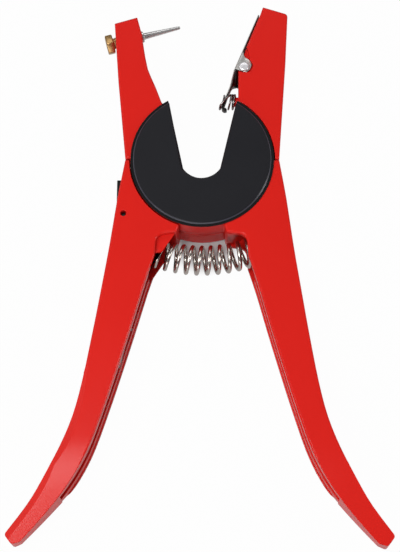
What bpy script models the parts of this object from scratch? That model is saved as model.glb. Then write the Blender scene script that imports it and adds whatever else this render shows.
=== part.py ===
"""Ear tag applicator: two crossing cast levers that turn about an open hub.

The tool lies flat on its rear face, jaws towards +Y, thickness along Z. Shapes are drawn about the
turning centre of the hub, and one empty carries them so that the object stands centred on its origin.
The pin lever has the right handle and the left jaw, the clip lever the left handle and the right jaw.
"""
import math

import bmesh
import bpy
from mathutils import Matrix, Vector

# Driving dimensions, in metres
HANDLE_LENGTH = 0.1665
HANDLE_SPREAD = 0.0783
JAW_LENGTH = 0.0727
JAW_SPREAD = 0.0395
JAW_FOOT_HEIGHT = 0.0240
THICKNESS = 0.023
HUB_RADIUS = 0.0300
CLOSING_ANGLE = math.radians(35.5)
STOP_ANGLE = math.radians(36.0)

# Fits between pieces
GAP = 0.0003
RUNNING_GAP = 0.0007
OVERRUN = 0.004
WELD = 0.00001
FUSE = 0.0001
EDGE_ROUND = 0.0006

# Hub
RIM_STEP = 0.0009
COVER_STEP = 0.0004
FRONT_COVER_THICKNESS = 0.0028
FRONT_COVER_PROUD = 0.0012
REAR_COVER_THICKNESS = 0.0020
REAR_COVER_SINK = 0.0003
COVER_EDGE = 0.0006
SEAM_GAP = 0.0004
WAIST_HALF_WIDTH = 0.0334
HUB_WALL = 0.0033

# Ear notch through the hub
NOTCH_DEPTH = 0.0089
NOTCH_ARC_RADIUS = 0.0099
NOTCH_FOOT_HALF_WIDTH = 0.0082
NOTCH_MOUTH_HALF_WIDTH = 0.0151
NOTCH_LEAN = 0.0004
NOTCH_RELIEF = 0.0003

# Hub fasteners
BUSH_CIRCLE_RADIUS = 0.0200
BUSH_RADIUS = 0.0030
BUSH_BORE = 0.0019
SCREW_RADIUS = 0.0015
SCREW_HEAD_RADIUS = 0.0028
SCREW_HEAD_HEIGHT = 0.0014
BOSS_PILOT = 0.0018
DRIVE_RADIUS = 0.0010
DRIVE_DEPTH = 0.0009
BUSH_ANGLES = {"left": math.radians(205), "middle": math.radians(270), "right": math.radians(335)}

# Handles
WEB = 0.0030
FLANGE = 0.0030
CHANNEL_TOP = 0.0262
CHANNEL_END_SHARE = 0.880
MOUTH_WIDTH = 0.0060
LIP_SET_BACK = 0.0005
LIP_DEPTH = 0.0042
LIP_START_SHARE = 0.290
POCKET_ROUND = 0.0042
TIP_ROUND = 0.0016
TIP_ROUND_LOSS = 0.00077
TIP_THICKNESS = 0.0118
TIP_TAPER_SHARE = 0.800

# Main spring between the handles
SPRING_DROP = 0.0425
SPRING_BEND_RADIUS = 0.0600
SPRING_HALF_SPAN = 0.0300
SPRING_OUTER_RADIUS = 0.0066
SPRING_WIRE_RADIUS = 0.0009
SPRING_TURNS = 14.75
SPRING_START_TURN = 0.27
SEAT_RADIUS = 0.0068
SEAT_HEIGHT = 0.0048
SEAT_PEG_RADIUS = 0.0040
SEAT_PEG_HEIGHT = 0.0050

# Tagging needle and the screw that holds it
NEEDLE_LENGTH = 0.0183
NEEDLE_BASE_RADIUS = 0.0014
NEEDLE_TIP_RADIUS = 0.0006
NEEDLE_POINT_RADIUS = 0.0004
NEEDLE_FLANGE_RADIUS = 0.0026
NEEDLE_FLANGE_THICKNESS = 0.0009
NEEDLE_TAIL = 0.0120
NEEDLE_SEAT_SHARE = 0.55
HOLDER_BORE_DEPTH = 0.0046
HOLDER_HEAD_CORNER_RADIUS = 0.0044
HOLDER_HEAD_THICKNESS = 0.0032
HOLDER_HEAD_CHAMFER = 0.0005
HOLDER_SHANK_RADIUS = 0.0025
HOLDER_SHANK_SHOWING = 0.0015
HOLDER_HEAD_TURN = math.radians(20)

# Jaw of the clip lever
JAW_WALL = 0.0034
JAW_OUTER_WALL = 0.0028
JAW_TOP_WALL = 0.0026
JAW_FLOOR = 0.0390
JAW_CORNER_ROUND = 0.0018
EAR_RECESS = 0.0022
RECESS_RADIUS = 0.0039
RECESS_BELOW = 0.0029

# Tag clip, its pivot and its spring
CLIP_SHEET = 0.0009
CLIP_STANDOFF = 0.0029
CLIP_TOP_REACH = 0.0262
CLIP_SLOT_WIDTH = 0.0080
CLIP_SLOT_FLOOR = 0.0105
CLIP_SHOULDER_START = 0.0030
CLIP_SHOULDER_END = 0.0078
CLIP_TONGUE_WIDTH = 0.0038
CLIP_STRAIGHT_TAIL = 0.0112
CLIP_BENT_TAIL_LENGTH = 0.0064
CLIP_TAIL_BEND = math.radians(3)
CLIP_CURL_RADIUS = 0.0009
CLIP_CURL_SWEEP = math.radians(150)
EAR_RADIUS = 0.0030
EAR_BELOW = 0.0021
EAR_RISE = 0.0062
EAR_LOBE_TURN = math.radians(10)
PIVOT_RADIUS = 0.00125
PIVOT_HEAD_RADIUS = 0.0019
PIVOT_HEAD_HEIGHT = 0.0006
CLIP_SPRING_HEIGHT = 0.0315
CLIP_SPRING_OUTER_RADIUS = 0.0036
CLIP_SPRING_WIRE_RADIUS = 0.0004
CLIP_SPRING_TURNS = 2.0
CLIP_SPRING_PEG_RADIUS = 0.0021
CLIP_SPRING_PEG_HEIGHT = 0.0020

# Catch that locks the handles
CATCH_FRONT = 0.0180
CATCH_THICKNESS = 0.0060
CATCH_PIVOT_X = -0.0337
CATCH_PIVOT_Y = -0.0248
CATCH_EYE_RADIUS = 0.0024
CATCH_PIN_RADIUS = 0.0010
CATCH_PIN_SINK = 0.0025
CATCH_LENGTH = 0.0168
CATCH_BACK = 0.0033
CATCH_PAD_LENGTH = 0.0105
CATCH_TOOTH_REACH = 0.0031
CATCH_TOOTH_HEIGHT = 0.0030
CATCH_BAR = 0.0006
CATCH_NOTCH_DEPTH = 0.0016
CATCH_NOTCH_HALF_ANGLE = math.radians(5)
CATCH_NOTCH_ANGLE = math.radians(198.7)

# Spare needle kept in the left handle
SPARE_X = -0.0297
SPARE_Y = -0.0606
SPARE_LEAN = math.radians(10.2)
RIB_THICKNESS = 0.0016
RIB_RECESS = 0.0008
RIB_REACH = 0.0113
RIB_PLACE_SHARES = (0.13, 0.93)

# Points of the handle edges: share of HANDLE_LENGTH down, share of HANDLE_SPREAD out
HANDLE_OUTER_SHARES = (
    (0.110, 0.466), (0.230, 0.501), (0.350, 0.541), (0.470, 0.583), (0.590, 0.629), (0.680, 0.676),
    (0.760, 0.742), (0.840, 0.828), (0.900, 0.904), (0.972, 1.021),
)
HANDLE_INNER_SHARES = (
    (0.260, 0.255), (0.330, 0.303), (0.435, 0.366), (0.540, 0.432), (0.640, 0.497), (0.740, 0.568),
    (0.800, 0.625), (0.850, 0.687), (0.900, 0.765), (0.950, 0.856), (0.990, 0.934),
)
HANDLE_END_SHARES = (0.9968, 0.980)

# Points of the jaws: share of JAW_SPREAD across, share of the jaw's rise above JAW_FOOT_HEIGHT
PIN_JAW_OUTER_SHARES = ((-0.890, -0.133), (-0.942, 0.257), (-1.000, 0.834))
PIN_JAW_INNER_SHARES = (
    (-0.747, 0.897), (-0.691, 0.728), (-0.661, 0.569), (-0.615, 0.382), (-0.529, 0.213), (-0.458, 0.060),
)
CLIP_JAW_OUTER_SHARES = ((0.878, -0.067), (0.921, 0.439), (0.949, 0.928))
CLIP_JAW_INNER_SHARES = (
    (0.671, 1.000), (0.642, 0.928), (0.486, 0.601), (0.425, 0.485), (0.396, 0.410), (0.395, 0.104),
)
CLIP_PIVOT_SHARES = (0.458, 0.410)

MM_PER_METRE = 1000
SMOOTH_STEPS = 3
ARC_STEP = math.radians(5)
CURL_POINTS = 9
HUB_SIDES = 72

# Levels that follow from the sizes above
MIDDLE = THICKNESS / 2
RIM_RADIUS = HUB_RADIUS + RIM_STEP
BORE_RADIUS = RIM_RADIUS + RUNNING_GAP
FRONT_DISC_TOP = THICKNESS + FRONT_COVER_PROUD - FRONT_COVER_THICKNESS - GAP
REAR_DISC_BOTTOM = REAR_COVER_SINK + REAR_COVER_THICKNESS + GAP
FRONT_DISC_BOTTOM = MIDDLE + GAP / 2
REAR_DISC_TOP = MIDDLE - GAP / 2
HINGE_Y = (HANDLE_LENGTH - TIP_ROUND_LOSS - JAW_LENGTH) / 2


def clear_scene():
    for thing in list(bpy.data.objects):
        bpy.data.objects.remove(thing, do_unlink=True)


def new_collection(name):
    group = bpy.data.collections.new(name)
    bpy.context.scene.collection.children.link(group)
    return group


def paint(name, colour, roughness, metallic):
    material = bpy.data.materials.new(name)
    material.use_nodes = True
    shader = material.node_tree.nodes["Principled BSDF"]
    shader.inputs["Base Color"].default_value = (*colour, 1)
    shader.inputs["Roughness"].default_value = roughness
    shader.inputs["Metallic"].default_value = metallic
    material.diffuse_color = (*colour, 1)
    return material


def polar(radius, angle, centre=(0, 0)):
    return centre[0] + radius * math.cos(angle), centre[1] + radius * math.sin(angle)


def arc(radius, start, end, centre=(0, 0)):
    """Points along an arc, both ends included."""
    count = max(2, math.ceil(abs(end - start) / ARC_STEP))
    return [polar(radius, start + (end - start) * i / count, centre) for i in range(count + 1)]


def smooth(points, steps=SMOOTH_STEPS):
    """A Catmull-Rom curve through the points."""
    result = []
    last = len(points) - 1
    for i in range(last):
        a, b = Vector(points[max(i - 1, 0)]), Vector(points[i])
        c, d = Vector(points[i + 1]), Vector(points[min(i + 2, last)])
        for k in range(steps):
            t = k / steps
            bend = 2 * b + (c - a) * t + (2 * a - 5 * b + 4 * c - d) * t**2 + (3 * b - a - 3 * c + d) * t**3
            result.append(tuple(bend / 2))
    result.append(tuple(points[last]))
    return result


def offset(points, distance):
    """The same open line moved sideways, to its left for a positive distance."""
    result = []
    last = len(points) - 1
    for i, point in enumerate(points):
        along = Vector(points[min(i + 1, last)]) - Vector(points[max(i - 1, 0)])
        along.normalize()
        result.append((point[0] - along.y * distance, point[1] + along.x * distance))
    return result


def fillet(corner, before, after, radius):
    """Points of a round between two straight edges that meet at a corner."""
    c = Vector(corner)
    u = (Vector(before) - c).normalized()
    v = (Vector(after) - c).normalized()
    half = u.angle(v) / 2
    reach = min(radius / math.tan(half), (Vector(before) - c).length, (Vector(after) - c).length)
    start, end = c + u * reach, c + v * reach
    return [tuple(start.lerp(c, t).lerp(c.lerp(end, t), t)) for t in (0, 0.25, 0.5, 0.75, 1)]


def mirror_x(points):
    return [(-x, y) for x, y in points]


class Workshop:
    """Makes the solids and keeps the parts and the cutters in their own collections."""

    def __init__(self, parts, cutters):
        self.parts = parts
        self.cutters = cutters

    def place(self, thing, material=None, parent=None):
        for group in list(thing.users_collection):
            group.objects.unlink(thing)
        if material is None:
            self.cutters.objects.link(thing)
            thing.hide_render = True
            thing.display_type = "WIRE"
        else:
            self.parts.objects.link(thing)
            thing.data.materials.clear()
            thing.data.materials.append(material)
        if parent is not None:
            thing.parent = parent
        return thing

    def finish_mesh(self, name, mesh):
        shape = bmesh.new()
        shape.from_mesh(mesh)
        bmesh.ops.remove_doubles(shape, verts=shape.verts, dist=WELD)
        bmesh.ops.recalc_face_normals(shape, faces=shape.faces)
        shape.to_mesh(mesh)
        shape.free()
        mesh.name = name
        return bpy.data.objects.new(name, mesh)

    def from_curve(self, name, curve, matrix=None):
        """Turns a curve into a closed mesh whose points are in the given frame."""
        thing = bpy.data.objects.new(name + "_curve", curve)
        bpy.context.scene.collection.objects.link(thing)
        evaluated = thing.evaluated_get(bpy.context.evaluated_depsgraph_get())
        mesh = bpy.data.meshes.new_from_object(evaluated)
        if matrix is not None:
            mesh.transform(matrix)
        bpy.data.objects.remove(thing, do_unlink=True)
        bpy.data.curves.remove(curve)
        return self.finish_mesh(name, mesh)

    def plate(self, name, loops, bottom, top, edge=0, frame=None):
        """A flat outline, the first loop, with holes, the others, between two levels."""
        curve = bpy.data.curves.new(name + "_outline", "CURVE")
        curve.dimensions = "2D"
        curve.fill_mode = "BOTH"
        curve.extrude = (top - bottom) / 2 - edge
        curve.bevel_depth = edge
        curve.bevel_resolution = 0
        curve.offset = -edge
        for loop in loops:
            spline = curve.splines.new("POLY")
            spline.points.add(len(loop) - 1)
            for point, (x, y) in zip(spline.points, loop):
                point.co = (x, y, 0, 1)
            spline.use_cyclic_u = True
        lift = Matrix.Translation((0, 0, (top + bottom) / 2))
        return self.from_curve(name, curve, lift if frame is None else frame @ lift)

    def tube(self, name, points, radius):
        curve = bpy.data.curves.new(name + "_path", "CURVE")
        curve.dimensions = "3D"
        curve.bevel_depth = radius
        curve.bevel_resolution = 1
        curve.use_fill_caps = True
        spline = curve.splines.new("POLY")
        spline.points.add(len(points) - 1)
        for point, place in zip(spline.points, points):
            point.co = (*place, 1)
        return self.from_curve(name, curve)

    def rod(self, name, start, end, radius, sides=24, end_radius=None):
        """A round bar, or a cone, between two points."""
        start, end = Vector(start), Vector(end)
        along = end - start
        shape = bmesh.new()
        turn = along.to_track_quat("Z", "Y").to_matrix().to_4x4()
        bmesh.ops.create_cone(
            shape, cap_ends=True, segments=sides, radius1=radius,
            radius2=radius if end_radius is None else end_radius, depth=along.length,
            matrix=Matrix.Translation((start + end) / 2) @ turn,
        )
        mesh = bpy.data.meshes.new(name)
        shape.to_mesh(mesh)
        shape.free()
        return self.finish_mesh(name, mesh)

    def turned(self, name, profile, frame, sides=24):
        """A closed profile of radius and height, spun with a Screw modifier about its own Z axis."""
        shape = bmesh.new()
        verts = [shape.verts.new((radius, 0, height)) for radius, height in profile]
        for a, b in zip(verts, verts[1:]):
            shape.edges.new((a, b))
        mesh = bpy.data.meshes.new(name + "_profile")
        shape.to_mesh(mesh)
        shape.free()
        thing = bpy.data.objects.new(name + "_profile", mesh)
        bpy.context.scene.collection.objects.link(thing)
        screw = thing.modifiers.new("turn", "SCREW")
        screw.steps = screw.render_steps = sides
        screw.use_merge_vertices = True
        screw.merge_threshold = WELD
        evaluated = thing.evaluated_get(bpy.context.evaluated_depsgraph_get())
        solid = bpy.data.meshes.new_from_object(evaluated)
        solid.transform(frame)
        bpy.data.objects.remove(thing, do_unlink=True)
        bpy.data.meshes.remove(mesh)
        return self.finish_mesh(name, solid)

    def combine(self, target, tool, operation):
        self.place(tool)
        step = target.modifiers.new(tool.name, "BOOLEAN")
        step.operation = operation
        step.solver = "EXACT"
        step.object = tool

    def cut(self, target, *tools):
        for tool in tools:
            self.combine(target, tool, "DIFFERENCE")

    def join(self, target, *tools):
        for tool in tools:
            self.combine(target, tool, "UNION")


def notch_line(relief=0):
    """The ear notch from its left mouth corner, round the bottom, to its right mouth corner."""
    foot = NOTCH_FOOT_HALF_WIDTH + relief
    mouth = NOTCH_MOUTH_HALF_WIDTH + relief
    radius = NOTCH_ARC_RADIUS + relief
    middle = -NOTCH_DEPTH + NOTCH_ARC_RADIUS
    swing = math.asin(foot / radius)
    rim = math.sqrt(RIM_RADIUS**2 - mouth**2)
    bottom = arc(radius, -math.pi / 2 - swing, -math.pi / 2 + swing, (-NOTCH_LEAN, middle))
    return [(-mouth, rim)] + bottom + [(mouth, rim)]


def disc_with_notch(radius):
    """The outline of a hub cover."""
    line = notch_line()
    left = Vector(line[0]).normalized() * radius
    right = Vector(line[-1]).normalized() * radius
    start = math.atan2(left.y, left.x)
    end = math.atan2(right.y, right.x)
    rim = arc(radius, start, 2 * math.pi + end)
    return line[1:-1][::-1] + rim


def handle_edges():
    """Outer and inner edge of the right handle, both running down from the hub."""
    place = [(HANDLE_SPREAD * out, -HANDLE_LENGTH * down) for down, out in HANDLE_OUTER_SHARES]
    outer = smooth([(WAIST_HALF_WIDTH, -SEAM_GAP / 2)] + place)
    inner = smooth([(HANDLE_SPREAD * out, -HANDLE_LENGTH * down) for down, out in HANDLE_INNER_SHARES])
    return outer, inner


def handle_outline():
    """The right handle from the seam at the waist, round the tip, up to its closing stop."""
    outer, inner = handle_edges()
    end = (HANDLE_SPREAD * HANDLE_END_SHARES[1], -HANDLE_LENGTH * HANDLE_END_SHARES[0])
    tip = fillet(outer[-1], outer[-2], end, TIP_ROUND) + fillet(end, outer[-1], inner[-1], TIP_ROUND)
    stop = -math.pi / 2 + STOP_ANGLE / 2
    wall = BORE_RADIUS + HUB_WALL
    top = polar(wall, stop)
    corner = (inner[0][0] - EDGE_ROUND, top[1] - RIM_STEP)
    pocket = fillet(corner, inner[0], top, POCKET_ROUND)
    return outer[:-1] + tip + inner[::-1] + pocket + [top, polar(RIM_RADIUS, stop)]


def jaw_points(shares):
    rise = JAW_LENGTH - JAW_FOOT_HEIGHT
    return [(JAW_SPREAD * x, JAW_FOOT_HEIGHT + rise * y) for x, y in shares]


def lever_outline(handle, jaw):
    """Handle on the right, jaw on the left: down the handle, round the hub, up and round the jaw."""
    seam = math.asin(SEAM_GAP / 2 / RIM_RADIUS)
    stop = -math.pi / 2 + STOP_ANGLE / 2
    below = arc(RIM_RADIUS, stop, -math.pi - seam)
    foot = Vector(jaw[-1]).normalized() * RIM_RADIUS
    notch = notch_line(NOTCH_RELIEF)
    mouth = math.atan2(notch[0][1], notch[0][0])
    reach = math.atan2(foot.y, foot.x)
    horn = arc(RIM_RADIUS, reach, mouth)[:-1] if abs(reach - mouth) > ARC_STEP / 2 else []
    side = arc(RIM_RADIUS, math.pi - mouth, -seam)
    waist = (-WAIST_HALF_WIDTH, SEAM_GAP / 2)
    return [side[-1]] + handle + below[1:] + [waist] + jaw + horn + notch + side[1:-1]


def channel_outline():
    """The hollow of the right handle, open towards the other handle."""
    outer, inner = handle_edges()
    end = -HANDLE_LENGTH * CHANNEL_END_SHARE
    back = [p for p in offset(outer, -WEB) if end < p[1] < -CHANNEL_TOP]
    mouth = [p for p in offset(inner, -OVERRUN) if p[1] > end]
    wall = BORE_RADIUS + HUB_WALL
    start = -math.pi / 2 + STOP_ANGLE / 4
    stop = -math.asin(CHANNEL_TOP / wall)
    foot = [(back[-1][0], end), (mouth[-1][0] - WEB, end)]
    throat = [(polar(wall, start)[0], mouth[0][1])]
    return back + foot + mouth[::-1] + throat + arc(wall, start, stop)


def channel_lips(shop, casting, flip):
    """Lips that narrow the mouth of the channel below the spring, set back from the flanges' edges."""
    inner = handle_edges()[1]
    near, far = offset(inner, LIP_SET_BACK), offset(inner, LIP_DEPTH)
    start = -HANDLE_LENGTH * LIP_START_SHARE
    end = -HANDLE_LENGTH * CHANNEL_END_SHARE - OVERRUN / 4
    run = [i for i, point in enumerate(inner) if end < point[1] < start]
    outline = flip([near[i] for i in run] + [far[i] for i in run[::-1]])
    root = FLANGE - GAP
    for name, low, high in (
        ("rear_lip", root, MIDDLE - MOUTH_WIDTH / 2), ("front_lip", MIDDLE + MOUTH_WIDTH / 2, THICKNESS - root)
    ):
        shop.join(casting, shop.plate(name, [outline], low, high))


def spring_axis(share):
    """Centre and direction of the main spring, share from -1 at the left seat to 1 at the right."""
    angle = math.asin(SPRING_HALF_SPAN / SPRING_BEND_RADIUS) * share
    x = SPRING_BEND_RADIUS * math.sin(angle)
    y = -SPRING_DROP + SPRING_BEND_RADIUS * (1 - math.cos(angle))
    return Vector((x, y, MIDDLE)), Vector((math.cos(angle), math.sin(angle), 0))


def helix(axis, turns, start_turn, radius):
    """A left-hand coil wound round an axis given as a function from -1 to 1."""
    count = math.ceil(turns * CURL_POINTS)
    points = []
    for i in range(count + 1):
        centre, along = axis(2 * i / count - 1)
        turn = 2 * math.pi * (start_turn + turns * i / count)
        across = Vector((-along.y, along.x, 0))
        points.append(centre - across * radius * math.cos(turn) + Vector((0, 0, radius * math.sin(turn))))
    return points


def least_self_gap(points, wire_radius):
    """Least gap of a coil to its own next turns, measured between points half a turn or more apart."""
    apart = CURL_POINTS // 2 + 1
    near = min(
        (points[i] - points[j]).length
        for i in range(len(points))
        for j in range(i + apart, min(i + 2 * CURL_POINTS, len(points)))
    )
    return near - 2 * wire_radius


def seat_solids(shop, side):
    """The round seat and the peg that hold one end of the main spring."""
    centre, along = spring_axis(side)
    outward = along * side
    face = centre + outward * (SPRING_WIRE_RADIUS + GAP)
    seat = shop.rod("spring_seat", face, face + outward * SEAT_HEIGHT, SEAT_RADIUS)
    peg_end = face - outward * SEAT_PEG_HEIGHT
    peg = shop.rod("spring_peg", face + outward * SEAT_HEIGHT / 2, peg_end, SEAT_PEG_RADIUS, 16)
    return seat, peg


def slot_outline(radius, half_width, start, end):
    """A slot with round ends that follows a circle about the hub's centre."""
    far = arc(radius + half_width, start, end)
    far_end = arc(half_width, end, end + math.pi, polar(radius, end))
    near = arc(radius - half_width, end, start)
    near_end = arc(half_width, start + math.pi, start + 2 * math.pi, polar(radius, start))
    return far + far_end[1:-1] + near + near_end[1:-1]


def tip_wedges(shop):
    """Two blocks that thin the handles towards their ends, one from the front and one from the rear."""
    start = -HANDLE_LENGTH * TIP_TAPER_SHARE
    slope = (THICKNESS - TIP_THICKNESS) / 2 / (HANDLE_LENGTH + start)
    high, low = start + OVERRUN, -HANDLE_LENGTH - OVERRUN
    level = THICKNESS - slope * (start - low)
    above = THICKNESS + slope * OVERRUN
    front = [(high, above), (low, level), (low, THICKNESS + OVERRUN), (high, THICKNESS + OVERRUN)]
    rear = [(down, THICKNESS - height) for down, height in front]
    reach = HANDLE_SPREAD + OVERRUN
    turn = Matrix(((0, 0, 1, 0), (1, 0, 0, 0), (0, 1, 0, 0), (0, 0, 0, 1)))
    return [
        shop.plate(name, [outline], -reach, reach, frame=turn)
        for name, outline in (("front_tip_wedge", front), ("rear_tip_wedge", rear))
    ]


def cast_lever(shop, name, side, jaw):
    """The blank of a lever with its hub halved, its channel and its spring seat."""
    flip = mirror_x if side < 0 else list
    outline = flip(lever_outline(handle_outline(), flip(jaw)))
    casting = shop.plate(name, [outline], 0, THICKNESS, EDGE_ROUND)
    channel = shop.plate(name + "_channel", [flip(channel_outline())], FLANGE, THICKNESS - FLANGE)
    seat, peg = seat_solids(shop, side)
    shop.cut(casting, channel, *tip_wedges(shop))
    shop.join(casting, seat, peg)
    channel_lips(shop, casting, flip)
    return casting


def pin_jaw():
    inner = jaw_points(PIN_JAW_INNER_SHARES)
    return jaw_points(PIN_JAW_OUTER_SHARES) + inner[:2] + smooth(inner[2:], 2)


def clip_jaw_inner():
    """Inner face of the clip lever's jaw, down to where its wall meets the hub's rim."""
    inner = jaw_points(CLIP_JAW_INNER_SHARES)
    wall = inner[-1][0]
    return inner + [(wall, math.sqrt(RIM_RADIUS**2 - wall**2) + RIM_STEP)]


def clip_jaw():
    outer = jaw_points(CLIP_JAW_OUTER_SHARES)
    inner = clip_jaw_inner()
    return outer[:-1] + fillet(outer[-1], outer[-2], inner[0], JAW_CORNER_ROUND) + inner


def needle_frame():
    """Origin where the needle leaves its jaw, Z along the needle."""
    inner = jaw_points(PIN_JAW_INNER_SHARES)
    top, low = Vector((*inner[0], MIDDLE)), Vector((*inner[1], MIDDLE))
    down = (low - top).normalized()
    out = Vector((-down.y, down.x, 0))
    base = top.lerp(low, NEEDLE_SEAT_SHARE)
    turn = Matrix((down, down.cross(out) * -1, out)).transposed().to_4x4()
    return Matrix.Translation(base) @ turn


def jaw_depth():
    """Thickness of the pin jaw along the needle."""
    frame = needle_frame()
    base, out = frame.translation, frame.to_3x3() @ Vector((0, 0, 1))
    a, b = (Vector((*p, MIDDLE)) for p in jaw_points(PIN_JAW_OUTER_SHARES)[-2:])
    edge = b - a
    normal = Vector((edge.y, -edge.x, 0))
    return (base - a).dot(normal) / out.dot(normal)


def pin_lever(shop, material, root):
    casting = cast_lever(shop, "pin_lever_casting", 1, pin_jaw())
    bottom = -OVERRUN
    rear_bore = shop.rod("rear_bore", (0, 0, bottom), (0, 0, FRONT_DISC_BOTTOM), BORE_RADIUS, HUB_SIDES)
    above = (0, 0, THICKNESS + OVERRUN)
    recess = shop.rod("front_recess", (0, 0, FRONT_DISC_TOP), above, HUB_RADIUS + COVER_STEP, HUB_SIDES)
    shop.cut(casting, rear_bore, recess)
    for place, angle in BUSH_ANGLES.items():
        x, y = polar(BUSH_CIRCLE_RADIUS, angle)
        top = (x, y, THICKNESS + OVERRUN)
        shop.cut(casting, shop.rod(place + "_boss_hole", (x, y, bottom), top, BUSH_RADIUS + GAP))
    for shift in (0, CLOSING_ANGLE):
        centre = CATCH_NOTCH_ANGLE + shift
        low, high = centre - CATCH_NOTCH_HALF_ANGLE, centre + CATCH_NOTCH_HALF_ANGLE
        inside = RIM_RADIUS - CATCH_NOTCH_DEPTH
        outline = arc(inside, low, high) + arc(RIM_RADIUS + GAP, high, low)
        notch = shop.plate("catch_notch", [outline], bottom, CATCH_FRONT + GAP)
        shop.cut(casting, notch)
    frame = needle_frame()
    depth = jaw_depth()
    tail_bore = shop.rod("tail_bore", (0, 0, -depth), (0, 0, OVERRUN), NEEDLE_BASE_RADIUS + GAP, 16)
    bore_start, bore_end = (0, 0, -depth - OVERRUN), (0, 0, -depth + HOLDER_BORE_DEPTH)
    screw_bore = shop.rod("screw_bore", bore_start, bore_end, HOLDER_SHANK_RADIUS + GAP)
    for bore in (tail_bore, screw_bore):
        bore.data.transform(frame)
        shop.cut(casting, bore)
    return shop.place(casting, material, root)


def clip_pivot():
    return jaw_points([CLIP_PIVOT_SHARES])[0]


def ear_recess_outline():
    """The scallop that the clip's ear turns in, open towards the other jaw."""
    x, y = clip_pivot()
    inner = jaw_points(CLIP_JAW_INNER_SHARES)
    low = -math.asin(RECESS_BELOW / RECESS_RADIUS)
    scallop = arc(RECESS_RADIUS, math.pi / 4, low, (x, y))
    left = inner[-1][0] - JAW_SPREAD
    top = inner[2][1] - GAP
    return [(left, top), (inner[2][0] + GAP, top)] + scallop + [(left, y - RECESS_BELOW)]


def jaw_hollow_outline():
    """The hollow behind the clip, where the needle's tip ends up."""
    outer = jaw_points(CLIP_JAW_OUTER_SHARES)
    inner = jaw_points(CLIP_JAW_INNER_SHARES)
    top_slope = (inner[0][1] - outer[-1][1]) / (outer[-1][0] - inner[0][0])
    right_top = (outer[-1][0] - JAW_OUTER_WALL, outer[-1][1] - JAW_TOP_WALL + JAW_OUTER_WALL * top_slope)
    left = inner[-1][0] - OVERRUN
    left_top = (inner[1][0] - OVERRUN, right_top[1] + (right_top[0] - inner[1][0] + OVERRUN) * top_slope)
    lean = (outer[1][0] - outer[0][0]) / (outer[1][1] - outer[0][1])
    right_low = (outer[0][0] + (JAW_FLOOR - outer[0][1]) * lean - JAW_OUTER_WALL, JAW_FLOOR)
    return [right_low, right_top, left_top, (left, inner[2][1]), (left, JAW_FLOOR)]


def catch_slot_outline():
    """The slot in the left handle in which the catch swings."""
    x, y = CATCH_PIVOT_X, CATCH_PIVOT_Y
    top = y + CATCH_LENGTH + RIM_STEP
    tooth_low = y + CATCH_LENGTH - CATCH_TOOTH_HEIGHT - 2 * RUNNING_GAP
    eye = CATCH_EYE_RADIUS + GAP
    outside = x - 2 * OVERRUN
    inside = OVERRUN - math.sqrt(BORE_RADIUS**2 - tooth_low**2)
    swing_room = x + eye + 3 * RUNNING_GAP
    pad_low = y + CATCH_LENGTH - CATCH_PAD_LENGTH - RUNNING_GAP
    return [
        (outside, top), (inside, top), (inside, tooth_low), (swing_room, tooth_low),
        *arc(eye, 0, -math.pi, (x, y)), (x - eye, pad_low), (outside, pad_low),
    ]


def clip_lever(shop, material, hinge):
    casting = cast_lever(shop, "clip_lever_casting", -1, clip_jaw())
    above = THICKNESS + OVERRUN
    front_bore = shop.rod("front_bore", (0, 0, REAR_DISC_TOP), (0, 0, above), BORE_RADIUS, HUB_SIDES)
    recess_floor = (0, 0, REAR_DISC_BOTTOM)
    recess = shop.rod("rear_recess", (0, 0, -OVERRUN), recess_floor, HUB_RADIUS + COVER_STEP, HUB_SIDES)
    shop.cut(casting, front_bore, recess)
    for place, angle in BUSH_ANGLES.items():
        half = BUSH_RADIUS + GAP
        outline = slot_outline(BUSH_CIRCLE_RADIUS, half, angle - CLOSING_ANGLE, angle)
        shop.cut(casting, shop.plate(place + "_guide_slot", [outline], -OVERRUN, MIDDLE + OVERRUN))
    hollow = shop.plate("jaw_hollow", [jaw_hollow_outline()], JAW_WALL, THICKNESS - JAW_WALL)
    front_ear = shop.plate("front_ear_recess", [ear_recess_outline()], THICKNESS - EAR_RECESS, above)
    rear_ear = shop.plate("rear_ear_recess", [ear_recess_outline()], -OVERRUN, EAR_RECESS)
    x, y = clip_pivot()
    pivot_bore = shop.rod("pivot_bore", (x, y, -OVERRUN), (x, y, above), PIVOT_RADIUS + GAP, 16)
    slot = shop.plate(
        "catch_slot", [catch_slot_outline()], CATCH_FRONT - CATCH_THICKNESS - GAP, CATCH_FRONT + GAP
    )
    pin = (CATCH_PIVOT_X, CATCH_PIVOT_Y)
    pin_bore = shop.rod("catch_pin_bore", (*pin, -OVERRUN), (*pin, above), CATCH_PIN_RADIUS + GAP, 16)
    shop.cut(casting, hollow, front_ear, rear_ear, pivot_bore, slot, pin_bore)
    wall = jaw_points(CLIP_JAW_INNER_SHARES)[-1][0]
    peg_start = (wall + CLIP_SPRING_PEG_HEIGHT, CLIP_SPRING_HEIGHT, MIDDLE)
    peg_end = (wall - CLIP_SPRING_PEG_HEIGHT, CLIP_SPRING_HEIGHT, MIDDLE)
    shop.join(casting, shop.rod("clip_spring_peg", peg_start, peg_end, CLIP_SPRING_PEG_RADIUS, 16))
    spare_ribs(shop, casting)
    return shop.place(casting, material, hinge)


def spare_frame():
    """Origin under the flange of the spare needle, Z along the needle."""
    along = Vector((-math.sin(SPARE_LEAN), -math.cos(SPARE_LEAN), 0))
    side = Vector((along.y, -along.x, 0))
    turn = Matrix((side, along.cross(side), along)).transposed().to_4x4()
    start = Vector((SPARE_X, SPARE_Y, MIDDLE)) + along * NEEDLE_TAIL
    return Matrix.Translation(start) @ turn


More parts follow.
